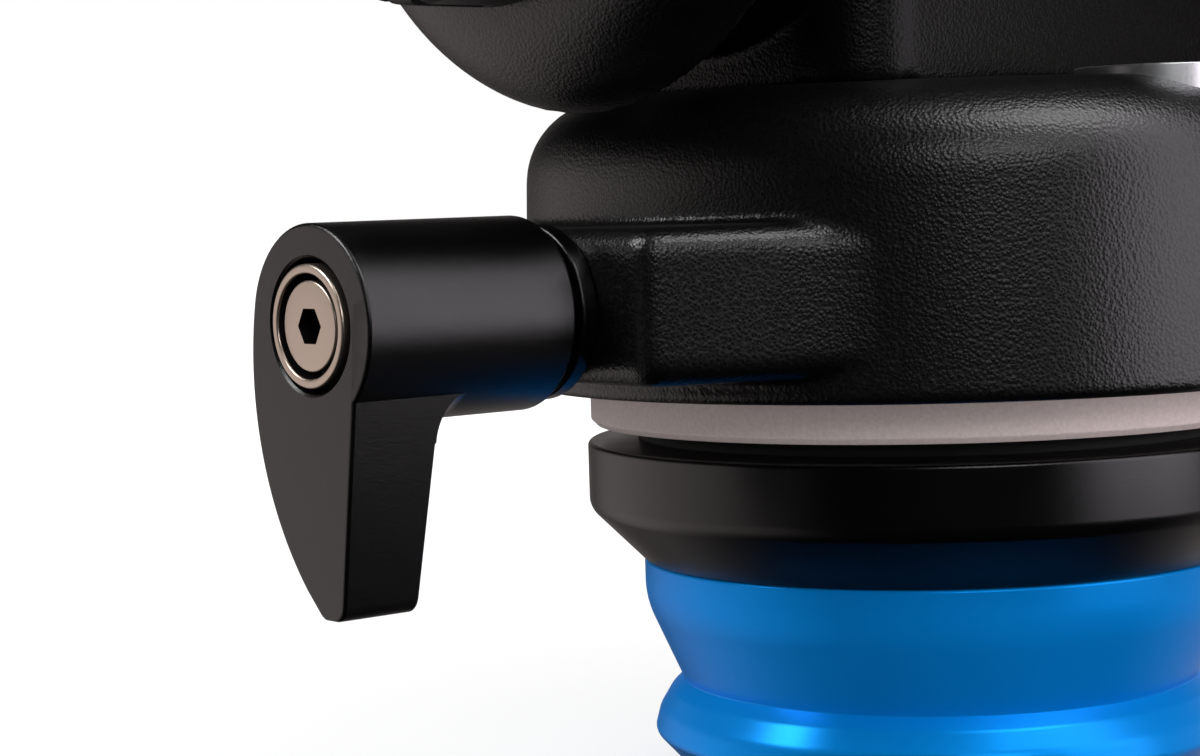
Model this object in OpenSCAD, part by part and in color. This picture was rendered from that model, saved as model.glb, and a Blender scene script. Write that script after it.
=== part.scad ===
// Fluid video head. A waisted base carries a pan housing with a side lock lever. A pedestal on
// the housing carries a tilting cradle with a sliding camera plate, a pan bar and two dials.
// Millimetres, +Z up. The operator stands at -Y, and the origin is the middle of the underside.

/* [Base] */
// Radius of the base foot's flat underside
foot_under_r = 25; // [23:0.1:26]
// Radius of the bead around the lower part of the foot
foot_rim_r = 29.4; // [28:0.1:32]
// Height of the bead's widest line
foot_rim_z = 5.3; // [4:0.1:7]
// Radius of the bead's rounded upper side
foot_bead_r = 6.4; // [5:0.1:8]
// Radius of the waist above the bead
foot_waist_r = 26.4; // [25:0.1:27.5]
// Radius of the foot's top, under the base plate
foot_top_r = 30; // [28:0.1:32]
// Height where the foot's cone reaches its top radius
foot_shoulder_z = 18.6; // [15:0.1:20]
// Height of the foot
foot_h = 23; // [21:0.1:28]
// Outer radius of the steel thread insert
insert_r = 7; // [6:0.1:9]
// Height of the thread insert
insert_h = 14; // [10:0.1:18]
// Radius of the tripod thread's bore
thread_r = 3.97; // [3:0.01:5]
// Outer radius of the base plate
plate_r = 35.5; // [34:0.1:38]
// Height of the base plate
plate_h = 12.5; // [11:0.1:16]
// Radius of the circle that the base screws stand on
base_screw_ring_r = 17; // [13:0.1:19]
// Radius of a base screw's shank
base_screw_r = 2; // [1.5:0.1:2.5]
// Radius of a base screw's head
base_head_r = 3.5; // [3:0.1:4]
// Height of a base screw's head
base_head_h = 4; // [3:0.1:5]

/* [Pan bearing] */
// Open groove between the base plate and the bearing ring
pan_gap = 1.5; // [1:0.1:2.5]
// How far the steel bearing ring stands in from the base plate's edge
ring_inset = 0.4; // [0.2:0.1:1]
// Visible height of the bearing ring
ring_h = 4.1; // [4:0.1:6]
// Radius of the ring's spigot in the housing
spigot_r = 30; // [29:0.1:31]
// Radius of the spindle at the bearing
bearing_in_r = 15; // [14.5:0.1:15.2]
// Outer radius of the bearing
bearing_out_r = 18.5; // [18.3:0.1:19]
// Width of the bearing
bearing_w = 4; // [3.5:0.1:5]
// Radius of a bearing ball
ball_r = 1.1; // [0.9:0.05:1.2]
// Number of bearing balls
ball_count = 20; // [12:1:28]
// Thickness of the lip above the bearing
ring_lip = 1.2; // [1:0.1:2]
// Thickness of the circlip under the bearing
circlip_t = 1.1; // [0.8:0.1:1.3]
// Radius of the seal's round section
seal_r = 1; // [0.8:0.05:1.2]
// Radius of the seal's ring
seal_ring_r = 29.3; // [28.5:0.1:30]

/* [Pan spindle and drag] */
// Radius of the spindle's flange
flange_r = 24; // [22:0.1:26]
// Thickness of the spindle's flange
flange_t = 4; // [3:0.1:5]
// Radius of the spindle inside the drag cup
spindle_mid_r = 13; // [11:0.1:13.5]
// Radius of the spindle's upper journal
spindle_top_r = 9; // [7:0.1:10]
// Outer radius of the drag cup, which is also the pan brake's drum
drum_r = 26; // [25.5:0.1:27]
// Height of the drag cup's wall
drum_h = 12.6; // [12:0.1:14]
// Thickness of the drag cup's wall
drum_wall = 2; // [1.5:0.1:2.2]
// Thickness of the drag vanes
vane_t = 1.4; // [1:0.1:1.6]
// Outer wall of the top bush
bush_wall = 3; // [2:0.1:4]

/* [Pan housing] */
// Radius of the housing at its foot
house_r = 41.5; // [40:0.1:44]
// Height of the housing
house_h = 28.9; // [27:0.1:34]
// Inward lean of the housing's wall
house_draft = 0.5; // [0:0.1:1.5]
// Radius of the rounded upper edge
house_edge_r = 7.6; // [5:0.1:9]
// Bevel around the housing's lower edge
house_bevel = 0.6; // [0.3:0.1:1.5]
// Radius of the cavity for the drag cup
cavity_r = 28; // [27.5:0.1:28.6]
// Height of the lock axis above the housing's foot
lock_rise = 9; // [8.5:0.1:12]
// Distance from the pan axis to the lug's end face
lug_x = 51; // [48:0.1:56]
// Half width of the lug's end face
lug_half_w = 14; // [12:0.1:17]
// Half width of the lug where it meets the housing
lug_root_half_w = 24.4; // [20:0.1:28]
// Height of the lug's underside above the housing's foot
lug_under = 2.3; // [1.5:0.1:3.5]
// Height of the lug
lug_h = 14.1; // [13:0.1:17]
// Radius of the lug's upright edges
lug_edge_r = 2.5; // [1:0.1:4]

/* [Lock levers] */
// Radius of a lever's hub
lever_hub_r = 8.75; // [8.5:0.05:10]
// Length of a lever's hub
lever_hub_len = 22.3; // [20:0.1:28]
// Distance from the lock axis to the lever's tip
lever_reach = 25.1; // [22:0.1:35]
// Radius of the lever's curved back
lever_back_r = 27.7; // [24:0.1:40]
// Turn from the level at which the curved back leaves the hub
lever_back_turn = 12.8; // [8:0.1:16]
// Distance of the straight edge from the axis at the hub
lever_edge_root = 6.1; // [5:0.1:7]
// Distance of the straight edge from the axis at the tip
lever_edge_tip = 3.4; // [2.5:0.1:5]
// Thickness of the lever's arm beside the hub
lever_root_t = 9.1; // [8:0.1:11]
// Thickness of the lever's arm at the tip
lever_tip_t = 7.7; // [6:0.1:9]
// Radius of the fillet between the arm's back and the hub
lever_fillet_r = 3; // [1.5:0.1:4]
// Radius of a thrust washer
washer_r = 8; // [7:0.1:8.5]
// Thickness of a thrust washer
washer_t = 1.8; // [1.5:0.1:2.5]
// Gap between a thrust washer and the lever
lever_gap = 1.2; // [0.6:0.1:1.5]
// Radius of a lock screw's thread
lock_screw_r = 4; // [3.5:0.1:4.2]
// Radius of a lock screw's splined head
spline_r = 5.2; // [5:0.1:5.4]
// Number of spline teeth
spline_count = 20; // [14:1:24]
// Length of the spline teeth
spline_len = 2.6; // [2:0.1:2.8]
// Travel of a lever when it is pulled out to be set again
lever_lift = 3; // [2.9:0.1:3.4]
// Radius of the steel cup in a lever's face
cup_r = 5.31; // [5.2:0.01:5.5]
// Wall of the steel cup
cup_wall = 0.8; // [0.6:0.05:0.9]
// Depth of the steel cup
cup_depth = 3.7; // [3.4:0.1:4]
// How far the cup stands out of the lever's face
cup_proud = 0.3; // [0.1:0.05:0.6]
// Radius of a lever screw's head
lever_head_r = 3.9; // [3.6:0.05:4]
// Height of a lever screw's head
lever_head_h = 2.4; // [2:0.1:2.6]
// Width of a lever screw's hexagon socket across its flats
lever_hex = 3; // [2.5:0.1:3.5]
// Radius of a lever screw's shank
lever_shank_r = 2.5; // [2:0.1:2.6]
// Radius of the wire in a lever's spring
lever_wire_r = 0.4; // [0.3:0.02:0.42]
// Number of turns in a lever's spring
lever_coils = 4; // [3:1:4]
// Radius of a brake shoe
shoe_r = 5; // [4:0.1:5.2]

/* [Tilt unit] */
// Height of the tilt axis above the housing
tilt_rise = 31.5; // [31:0.1:38]
// Outer radius of the pedestal's barrel
barrel_r = 28; // [27.5:0.1:29]
// Inner radius of the pedestal's barrel
barrel_bore_r = 24; // [23.5:0.1:25]
// Half length of the pedestal's barrel
barrel_half = 43.7; // [42:0.1:46]
// Half width of the pedestal's neck along the tilt axis
neck_half_w = 30; // [28:0.1:30.5]
// Half depth of the pedestal's neck
neck_half_d = 20; // [18:0.1:20.5]
// Running gap between the barrel and the cheeks
cheek_gap = 0.8; // [0.6:0.1:1.5]
// Radius of a cheek
cheek_r = 34; // [33:0.1:36]
// Thickness of a cheek
cheek_t = 9.5; // [9:0.1:12]
// Radius of a cheek's rounded outer edge
cheek_edge_r = 12; // [11:0.1:13]
// Radius of the tilt shaft
shaft_r = 8; // [7:0.1:8.5]
// Radius of the shaft's ends under the dials
stub_r = 6; // [5:0.1:6.5]
// Length of the shaft's ends under the dials
stub_len = 7; // [5:0.1:8]
// Thickness of the barrel's end discs
end_disc_t = 3; // [2.5:0.1:4]
// Radius of the brake disc
brake_disc_r = 32; // [31:0.1:33]
// Radius of the balance spring's wire
balance_wire_r = 1.8; // [1.4:0.05:2]
// Radius of the balance spring's coil
balance_coil_r = 16; // [15:0.1:18]
// Number of turns in the balance spring
balance_coils = 5; // [3:1:6]
// Distance from the tilt axis down to the tilt lock
tilt_lock_drop = 25.5; // [25:0.1:27]
// Height of the tilt lock's boss on the right cheek
lock_boss_h = 2; // [1.5:0.1:4]
// Radius of the tilt lock's boss
lock_boss_r = 8.6; // [8:0.1:9]

/* [Dials] */
// Radius of the tilt drag dial
drag_dial_r = 24.1; // [21:0.1:24.4]
// Radius of the counterbalance dial
balance_dial_r = 15.5; // [13:0.1:15.8]
// Height of both dials
dial_h = 10.5; // [9:0.1:14]
// Number of finger grooves around a dial
dial_grooves = 30; // [18:1:36]
// Radius of a finger groove
dial_groove_r = 1; // [0.6:0.05:1.2]

/* [Platform and camera plate] */
// How far the platform's sides stand in from the cheeks' faces
platform_inset = 2; // [1:0.1:3]
// Length of the platform behind the tilt axis
platform_rear = 34; // [32:0.1:36]
// Length of the platform ahead of the tilt axis
platform_front = 46; // [40:0.1:48]
// Height of the platform
platform_h = 14; // [13.5:0.1:16]
// Bevel under the platform's rear and front edges
platform_bevel = 8; // [7.5:0.1:8.5]
// Half width of the camera plate's dovetail at its foot
dovetail_half_w = 25; // [22:0.1:26]
// Height of the dovetail
dovetail_h = 5; // [4.5:0.1:5.5]
// Inward lean of the dovetail's sides
dovetail_lean = 3; // [2:0.1:3.5]
// Half width of the camera plate's top
plate_half_w = 27; // [26:0.1:30]
// Thickness of the camera plate's top
plate_top_t = 5; // [4.5:0.1:6]
// Half length of the camera plate
plate_half_len = 55; // [50:0.1:62]
// Half length of the slot for the camera screw
slot_half_len = 20; // [12:0.1:26]
// Radius of the camera screw's thread
camera_stud_r = 3.175; // [3:0.005:3.3]
// Radius of the camera screw's head
camera_head_r = 7.5; // [7:0.1:8.5]
// Height of the camera screw's head
camera_head_h = 3; // [2.5:0.1:3.2]
// How far the camera screw stands above the plate's pads
camera_stud_h = 5.5; // [4:0.1:7]
// Half width of a rubber pad on the plate
pad_half_w = 4; // [3:0.1:5]
// Thickness of a rubber pad
pad_t = 1.6; // [1.2:0.1:2]
// Depth of a pad's groove in the plate
pad_sink = 0.6; // [0.4:0.1:0.8]
// Radius of the clamp knob
clamp_knob_r = 9; // [8:0.1:11]
// Length of the clamp knob
clamp_knob_len = 13; // [10:0.1:16]
// Radius of the clamp knob's stud
clamp_stud_r = 3; // [2.5:0.1:3.2]
// Half length of the clamp jaw
jaw_half_len = 22; // [18:0.1:26]
// Thickness of the clamp jaw at its foot
jaw_t = 9; // [8:0.1:10]
// Distance of the clamp knob's axis ahead of the tilt axis
clamp_y = 6; // [2:0.1:10]
// Radius of the safety button
button_r = 4.5; // [4:0.1:5]
// Radius of the safety button's stem
button_stem_r = 3; // [2.5:0.1:3.4]
// Travel of the safety button
button_travel = 3; // [2:0.1:3.5]

/* [Pan bar] */
// Distance of the rosettes behind the tilt axis
rosette_back = 30; // [28:0.1:32]
// Height of the rosettes above the tilt axis
rosette_rise = 22; // [20:0.1:22.5]
// Radius of a rosette
rosette_r = 12; // [11:0.1:12.5]
// Number of teeth on a rosette
rosette_teeth = 24; // [18:1:28]
// Height of a rosette's teeth
tooth_h = 1; // [0.8:0.1:1.2]
// Radius of the thread in a rosette
rosette_thread_r = 3.05; // [2.5:0.05:3.5]
// Angle at which the pan bar drops from the level
bar_drop = 25; // [10:1:30]
// Radius of the pan bar's tube
bar_r = 8; // [7:0.1:9]
// Wall of the pan bar's tube
bar_wall = 1.5; // [1:0.1:2]
// Distance from the rosette to the bar's far end
bar_len = 235; // [180:1:260]
// Length of the rubber grip
grip_len = 105; // [80:1:130]
// Radius of the rubber grip
grip_r = 13; // [11:0.1:15]
// Radius of the pan bar's clamp
bar_clamp_r = 12.5; // [12:0.1:13]
// How far the clamp's faces stand out past the bar's socket
bar_clamp_rim = 0.5; // [0.3:0.1:1]
// Radius of the pan bar's knob
bar_knob_r = 13; // [11:0.1:16]
// Length of the pan bar's knob
bar_knob_len = 14; // [11:0.1:18]

/* [Level] */
// Distance of the level behind the pan axis
level_back = 30; // [29.6:0.1:31]
// Radius of the level's cup
level_r = 8; // [7.5:0.1:8.2]
// Height of the level's cup
level_h = 5.8; // [5:0.1:6]
// How far the level's cup stands above the housing
level_proud = 0.8; // [0.3:0.1:1]
// Wall of the level's cup
level_wall = 1.6; // [1:0.1:2]
// Wall of the housing around the level's cup
level_boss_wall = 0.9; // [0.6:0.1:1.1]

/* [Clearances] */
// Radial clearance of a running or screwed fit
run_clear = 0.05; // [0.02:0.01:0.1]
// Radial clearance of a seated fit
seat_clear = 0.02; // [0.01:0.01:0.05]
// Gap between a brake shoe and its drum or disc, with the lock open
brake_gap = 0.35; // [0.3:0.01:0.5]
// Gap between pieces that slide or turn face to face
face_gap = 0.4; // [0.3:0.05:0.6]

/* [Hidden] */
$fn = 64;
eps = 0.05;
small_bevel = 0.6;
head_clear = 0.2;
hole_spare = 1;

cast_black = [0.07, 0.07, 0.075];
satin_black = [0.10, 0.10, 0.11];
azure = [0.02, 0.36, 0.86];
warm_steel = [0.62, 0.58, 0.54];
bright_steel = [0.74, 0.75, 0.77];
bronze = [0.70, 0.52, 0.28];
rubber_black = [0.04, 0.04, 0.045];
safety_red = [0.75, 0.07, 0.06];
vial_green = [0.72, 0.90, 0.30];

// Heights of the pan stack
plate_z1 = foot_h + plate_h;
ring_z0 = plate_z1 + pan_gap;
house_z0 = ring_z0 + ring_h;
house_z1 = house_z0 + house_h;
lock_z = house_z0 + lock_rise;
tilt_z = house_z1 + tilt_rise;
clip_drop = 0.3;
bearing_z0 = ring_z0 + circlip_t + clip_drop;
bearing_z1 = bearing_z0 + bearing_w;
spigot_z1 = bearing_z1 + ring_lip;
drum_z0 = spigot_z1 + 2 * face_gap;
drum_z1 = drum_z0 + drum_h;
rotor_t = 2.5;
rotor_z0 = drum_z1 + 2.5 * face_gap;
roof_z0 = rotor_z0 + rotor_t;
roof_t = 5.5;
roof_z1 = roof_z0 + roof_t;
bush_flange_t = 1;
preload_t = 1;
nut_z0 = roof_z1 + bush_flange_t + face_gap + preload_t;
nut_h = 5;
nut_room = 2;
seal_lift = 0.1;
seal_z = plate_z1 + seal_lift;
base_head_z0 = 1;
base_grip = 2.5;

// Radii of the bearing's races and of the interleaved drag vanes
ball_ring_r = (bearing_in_r + bearing_out_r) / 2;
ball_z = (bearing_z0 + bearing_z1) / 2;
race_gap = ball_r / 2;
hub_r = ball_ring_r - race_gap;
vane_room = (drum_r - drum_wall - hub_r - 3 * vane_t) / 4;
vane_r1 = hub_r + vane_room;
vane_r2 = vane_r1 + vane_t + vane_room;
vane_r3 = vane_r2 + vane_t + vane_room;
bush_r = spindle_top_r + bush_wall;
nut_rim = 2;
nut_r = bush_r + nut_rim;
level_z1 = house_z1 + level_proud;
level_floor = 1;
level_sink = 0.3;
pedestal_screw_x = 20;
pedestal_screw_y = 11.5;
pedestal_screw_r = 2;
ring_r = plate_r - ring_inset;
ring_screw_inset = 0.45;
ring_screw_ring_r = (spigot_r + ring_r) / 2 - ring_screw_inset;
ring_screw_turn = 45;
ring_screw_r = 1.25;
ring_screw_grip = 6;
ring_head_r = 2.1;
ring_head_sink = 0.3;
ring_head_h = 1.7;
ring_head_z0 = ring_z0 + ring_head_sink;
ring_head_z1 = ring_head_z0 + ring_head_h;
clip_lip = 0.8;
cup_bottom_t = 2;
rotor_vane_z0 = drum_z0 + cup_bottom_t + 2 * face_gap;
pedestal_head_rim = 1.5;
pedestal_head_r = pedestal_screw_r + pedestal_head_rim;
pedestal_head_h = 3;
pedestal_grip = 6;

// Lock levers, measured outwards along their axis from the face that they turn on
lever_z0 = washer_t + lever_gap;
lever_z1 = lever_z0 + lever_hub_len;
cup_z1 = lever_z1 + cup_proud;
cup_z0 = cup_z1 - cup_depth;
cup_floor = 1;
cup_bevel = 0.25;
neck_wall = 1.45;
neck_r = lever_shank_r + neck_wall;
spring_end = 0.1;
spring_room = lever_lift + 2 * lever_wire_r * lever_coils + 4 * spring_end;
web_z1 = cup_z0 - spring_room;
web_t = 4;
web_z0 = web_z1 - web_t;
spline_z1 = web_z0 - 2 * spring_end;
spline_z0 = spline_z1 - spline_len;
spline_clear = 0.15;
tooth_depth = 0.6;
spline_root_r = spline_r - tooth_depth;
tooth_foot = 0.7;
tooth_tip = 0.35;
lever_grip = 8;
hex_depth = 1.8;
cup_clear = 0.55;
cup_bore_r = cup_r + cup_clear;
pan_screw_depth = 15;
shoe_drop = 0.5;

// Tilt unit, measured along the tilt axis
cheek_x0 = barrel_half + cheek_gap;
cheek_x1 = cheek_x0 + cheek_t;
cheek_top_z = tilt_z + cheek_r;
boss_x = cheek_x1 + lock_boss_h;
tilt_screw_grip = 4;
tilt_screw_depth = lock_boss_h + tilt_screw_grip;
neck_edge_r = 8;
web_half = 3;
tilt_bush_wall = 4;
tilt_bush_r = shaft_r + tilt_bush_wall;
tilt_bush_len = 7;
bush_sink = 0.5;
bush_boss_wall = 1.5;
bush_boss_r = tilt_bush_r + bush_boss_wall;
bush_boss_len = 5;
barrel_play = 1;
tilt_vane_r4 = barrel_bore_r - barrel_play - vane_t;
tilt_vane_room = (tilt_vane_r4 - bush_boss_r - 3 * vane_t) / 4;
tilt_vane_r1 = bush_boss_r + tilt_vane_room;
tilt_vane_r2 = tilt_vane_r1 + vane_t + tilt_vane_room;
tilt_vane_r3 = tilt_vane_r2 + vane_t + tilt_vane_room;
web_play = 2;
tilt_rotor_x0 = web_half + web_play;
tilt_rotor_t = 3;
tilt_rotor_hub = 14;
ear_h = 2;
ear_x = cheek_x1 + ear_h;
ear_wall = 0.5;
rosette_sink = 2;
rosette_y = -rosette_back;
rosette_z = tilt_z + rosette_rise;
platform_half_w = cheek_x1 - platform_inset;
cheek_screw_x = (cheek_x0 + platform_half_w) / 2;
cheek_screw_y = 18;
cheek_screw_r = 2;
cheek_head_r = 3.3;
cheek_head_h = 3;
cheek_grip = 10;

// Platform, plate and pan bar
platform_z1 = cheek_top_z + platform_h;
cheek_head_sink = 0.3;
cheek_head_z1 = platform_z1 - cheek_head_sink;
dovetail_z0 = platform_z1 - dovetail_h;
plate_z0 = dovetail_z0 + face_gap / 2;
plate_top_z0 = platform_z1 + face_gap;
plate_top_z1 = plate_top_z0 + plate_top_t;
pad_z1 = plate_top_z1 - pad_sink + pad_t;
pad_x = plate_half_w * 0.62;
pad_end = 8;
pad_half_len = plate_half_len - pad_end;
pad_edge_r = pad_half_w * 0.9;
slot_clear = 0.15;
camera_head_drop = 0.2;
camera_neck_r = 2.6;
camera_thread_lift = 0.1;
plate_edge_r = 4;
clamp_top_wall = 1.2;
jaw_foot_wall = 0.5;
clamp_z = platform_z1 - clamp_stud_r - clamp_top_wall;
jaw_z0 = clamp_z - clamp_stud_r - jaw_foot_wall;
jaw_slack = 0.3;
button_y = 8;
button_z = (cheek_top_z + platform_z1) / 2;
button_cap_t = 5;
button_stem_len = 20;
bar_clamp_x0 = ear_x + 2 * tooth_h + face_gap;
socket_wall = 2;
socket_r = bar_r + socket_wall;
bar_clamp_t = 2 * (socket_r + bar_clamp_rim);
bar_x = bar_clamp_x0 + bar_clamp_t / 2;
bar_knob_x0 = bar_clamp_x0 + bar_clamp_t + face_gap;
socket_len = 32;
socket_floor = 1.5;
bar_z0 = bar_clamp_r + socket_floor;
grip_end_t = 4;
stud_grip = 6;

// Points along an arc
function arc(x, y, r, from, to, steps = 8) =
    [for (i = [0 : steps]) let (a = from + (to - from) * i / steps) [x + r * cos(a), y + r * sin(a)]];

// A toothed outline with flat tips
function toothed(count, root_r, tip_r, root_half, tip_half) =
    [for (i = [0 : count - 1], side = [0 : 3])
        let (
            r = (side == 0 || side == 3) ? root_r : tip_r,
            half = (side == 0 || side == 3) ? root_half : tip_half,
            a = i * 360 / count + (side < 2 ? -half : half)
        )
        [r * cos(a), r * sin(a)]];

module lathe(points) {
    rotate_extrude() polygon(points);
}

// A ring between two radii and two heights
module ring(inner, outer, z0, z1) {
    difference() {
        translate([0, 0, z0]) cylinder(r = outer, h = z1 - z0);
        translate([0, 0, z0 - eps]) cylinder(r = inner, h = z1 - z0 + 2 * eps);
    }
}

// A plain disc between two heights
module disc(r, z0, z1) {
    translate([0, 0, z0]) cylinder(r = r, h = z1 - z0);
}

module rounded_rect(half_w, half_d, r) {
    square([2 * (half_w - r), 2 * half_d], center = true);
    square([2 * half_w, 2 * (half_d - r)], center = true);
    for (x = [-1, 1], y = [-1, 1])
        translate([x * (half_w - r), y * (half_d - r)]) circle(r);
}

// Copies at equal turns around the pan axis
module around(count, r, turn = 0) {
    for (i = [0 : count - 1])
        rotate(turn + i * 360 / count) translate([r, 0, 0]) children();
}

// Local +Z becomes +X, and local +X becomes down
module along_x() {
    rotate([0, 90, 0]) children();
}

module at_tilt_axis() {
    translate([0, 0, tilt_z]) along_x() children();
}

module at_pan_lock() {
    translate([-lug_x, 0, lock_z]) mirror([1, 0, 0]) along_x() children();
}

module at_tilt_lock() {
    translate([boss_x, 0, tilt_z - tilt_lock_drop]) along_x() children();
}

module at_right_rosette() {
    translate([ear_x, rosette_y, rosette_z]) along_x() children();
}

module both_sides() {
    children();
    mirror([1, 0, 0]) children();
}

// One round wire along a helix about Z, as a closed tube of flat triangles
module coil(mean_r, wire_r, turns, z0, z1, rings_per_turn = 12, sides = 6) {
    count = turns * rings_per_turn;
    rise = (z1 - z0 - 2 * wire_r) / count;
    points = [for (i = [0 : count], j = [0 : sides - 1])
        let (a = i * 360 / rings_per_turn, b = j * 360 / sides, r = mean_r + wire_r * cos(b))
        [r * cos(a), r * sin(a), z0 + wire_r + i * rise + wire_r * sin(b)]];
    start = [for (j = [1 : sides - 2]) [0, j, j + 1]];
    end = [for (j = [1 : sides - 2]) [count * sides, count * sides + j + 1, count * sides + j]];
    skin = [for (i = [0 : count - 1], j = [0 : sides - 1], half = [0, 1])
        let (a = i * sides + j, b = i * sides + (j + 1) % sides)
        half == 0 ? [a, a + sides, b] : [b, a + sides, b + sides]];
    echo(str("least gap between coils ", rise * rings_per_turn - 2 * wire_r));
    polyhedron(points = points, faces = concat(start, end, skin), convexity = 10);
}

// Base

module base_foot() {
    waist_turn = acos((foot_waist_r - foot_rim_r + foot_bead_r) / foot_bead_r);
    bead = arc(foot_rim_r - foot_bead_r, foot_rim_z, foot_bead_r, 0, waist_turn, 7);
    color(azure) difference() {
        lathe(concat(
            [[0, 0], [foot_under_r, 0]], bead,
            [[foot_top_r, foot_shoulder_z], [foot_top_r, foot_h], [0, foot_h]]
        ));
        disc(insert_r + seat_clear, -eps, insert_h);
        around(4, base_screw_ring_r, 45) {
            disc(base_screw_r + run_clear, -eps, foot_h + eps);
            disc(base_head_r + head_clear, -eps, base_head_z0 + base_head_h);
        }
    }
}

module thread_insert() {
    color(bright_steel) ring(thread_r, insert_r, 0, insert_h);
}

module base_plate() {
    bevel = plate_r - foot_top_r;
    color(satin_black) difference() {
        lathe([
            [0, foot_h], [foot_top_r, foot_h], [plate_r, foot_h + bevel],
            [plate_r, plate_z1 - small_bevel], [plate_r - small_bevel, plate_z1], [0, plate_z1]
        ]);
        disc(flange_r + seat_clear, plate_z1 - flange_t, plate_z1 + eps);
        around(4, base_screw_ring_r, 45) disc(base_screw_r + run_clear, foot_h - eps, plate_z1);
        rotate_extrude() translate([seal_ring_r, seal_z]) circle(seal_r + seat_clear);
    }
}

module base_screws() {
    color(bright_steel) around(4, base_screw_ring_r, 45) difference() {
        union() {
            disc(base_head_r, base_head_z0, base_head_z0 + base_head_h);
            disc(base_screw_r, base_head_z0, plate_z1 - flange_t + base_grip);
        }
        translate([0, 0, base_head_z0 - eps]) cylinder(r = base_head_r / 2, h = base_head_h / 2, $fn = 6);
    }
}

module pan_spindle() {
    color(bright_steel) difference() {
        union() {
            disc(flange_r, plate_z1 - flange_t, plate_z1);
            disc(hub_r, plate_z1 - eps, bearing_z0);
            disc(bearing_in_r, bearing_z0 - eps, bearing_z1);
            disc(spindle_mid_r, bearing_z1 - eps, drum_z1);
            disc(spindle_top_r, drum_z1 - eps, nut_z0 + nut_h);
        }
        around(4, base_screw_ring_r, 45) translate([0, 0, plate_z1 - flange_t])
            disc(base_screw_r + seat_clear, -eps, base_grip + hole_spare / 2);
    }
}

module race(inner, outer) {
    color(bright_steel) difference() {
        ring(inner, outer, bearing_z0, bearing_z1);
        rotate_extrude() translate([ball_ring_r, ball_z]) circle(ball_r + run_clear);
    }
}

module bearing_inner() {
    race(bearing_in_r + seat_clear, hub_r);
}

module pan_seal() {
    color(rubber_black) rotate_extrude() translate([seal_ring_r, seal_z]) circle(seal_r);
}

module drag_cup() {
    color(bright_steel) difference() {
        union() {
            disc(hub_r, bearing_z1, drum_z1);
            ring(drum_r - drum_wall, drum_r, drum_z0, drum_z1);
            ring(vane_r2, vane_r2 + vane_t, drum_z0, drum_z1 - face_gap);
            disc(drum_r, drum_z0, drum_z0 + cup_bottom_t);
        }
        disc(spindle_mid_r + seat_clear, bearing_z1 - eps, drum_z1 + eps);
    }
}

module preload_washer() {
    color(bright_steel) ring(spindle_top_r + face_gap, nut_r, nut_z0 - preload_t, nut_z0);
}

module spindle_nut() {
    color(bright_steel) difference() {
        translate([0, 0, nut_z0]) cylinder(r = nut_r, h = nut_h, $fn = 6);
        disc(spindle_top_r + seat_clear, nut_z0 - eps, nut_z0 + nut_h + eps);
    }
}

// Pan housing and its bearing

module bearing_ring() {
    color(warm_steel) difference() {
        union() {
            lathe([
                [0, ring_z0], [ring_r - small_bevel, ring_z0], [ring_r, ring_z0 + small_bevel],
                [ring_r, house_z0], [0, house_z0]
            ]);
            disc(spigot_r, house_z0 - eps, spigot_z1);
        }
        disc(bearing_out_r + seat_clear, ring_z0 - eps, bearing_z1);
        disc(ball_ring_r + race_gap + head_clear, ring_z0 - eps, spigot_z1 + eps);
        disc(bearing_out_r + clip_lip + seat_clear, bearing_z0 - circlip_t - run_clear, bearing_z0);
        around(4, ring_screw_ring_r, ring_screw_turn) {
            disc(ring_screw_r + run_clear, ring_z0 - eps, house_z0 + eps);
            disc(ring_head_r + head_clear, ring_z0 - eps, ring_head_z1);
        }
    }
}

module ring_screws() {
    color(bright_steel) around(4, ring_screw_ring_r, ring_screw_turn) difference() {
        union() {
            disc(ring_head_r, ring_head_z0, ring_head_z1);
            disc(ring_screw_r, ring_head_z0, house_z0 + ring_screw_grip);
        }
        translate([0, 0, ring_z0]) cylinder(r = ring_screw_r, h = ring_screw_r, $fn = 6);
    }
}

module bearing_outer() {
    race(ball_ring_r + race_gap, bearing_out_r);
}

module bearing_balls() {
    color(bright_steel) around(ball_count, ball_ring_r)
        translate([0, 0, ball_z]) sphere(ball_r);
}

module bearing_circlip() {
    clip_in_r = ball_ring_r + race_gap + head_clear;
    split = 5;
    color(bright_steel) difference() {
        ring(clip_in_r, bearing_out_r + clip_lip, bearing_z0 - circlip_t, bearing_z0);
        translate([clip_in_r - 1, -split / 2, bearing_z0 - circlip_t - eps])
            cube([split, split, circlip_t + 2 * eps]);
    }
}

module lug_outline() {
    corner = [-(lug_x - lug_edge_r), lug_half_w - lug_edge_r];
    root_x = -sqrt(pow(house_r - house_draft, 2) - pow(lug_root_half_w, 2));
    polygon([
        [0, lug_root_half_w], [root_x, lug_root_half_w], [-lug_x + lug_edge_r * 0.7, lug_half_w],
        [-lug_x + lug_edge_r * 0.7, -lug_half_w], [root_x, -lug_root_half_w], [0, -lug_root_half_w]
    ]);
    translate([-lug_x, -corner[1]]) square([lug_x, 2 * corner[1]]);
    for (side = [-1, 1]) translate([corner[0], side * corner[1]]) circle(lug_edge_r);
}

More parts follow.
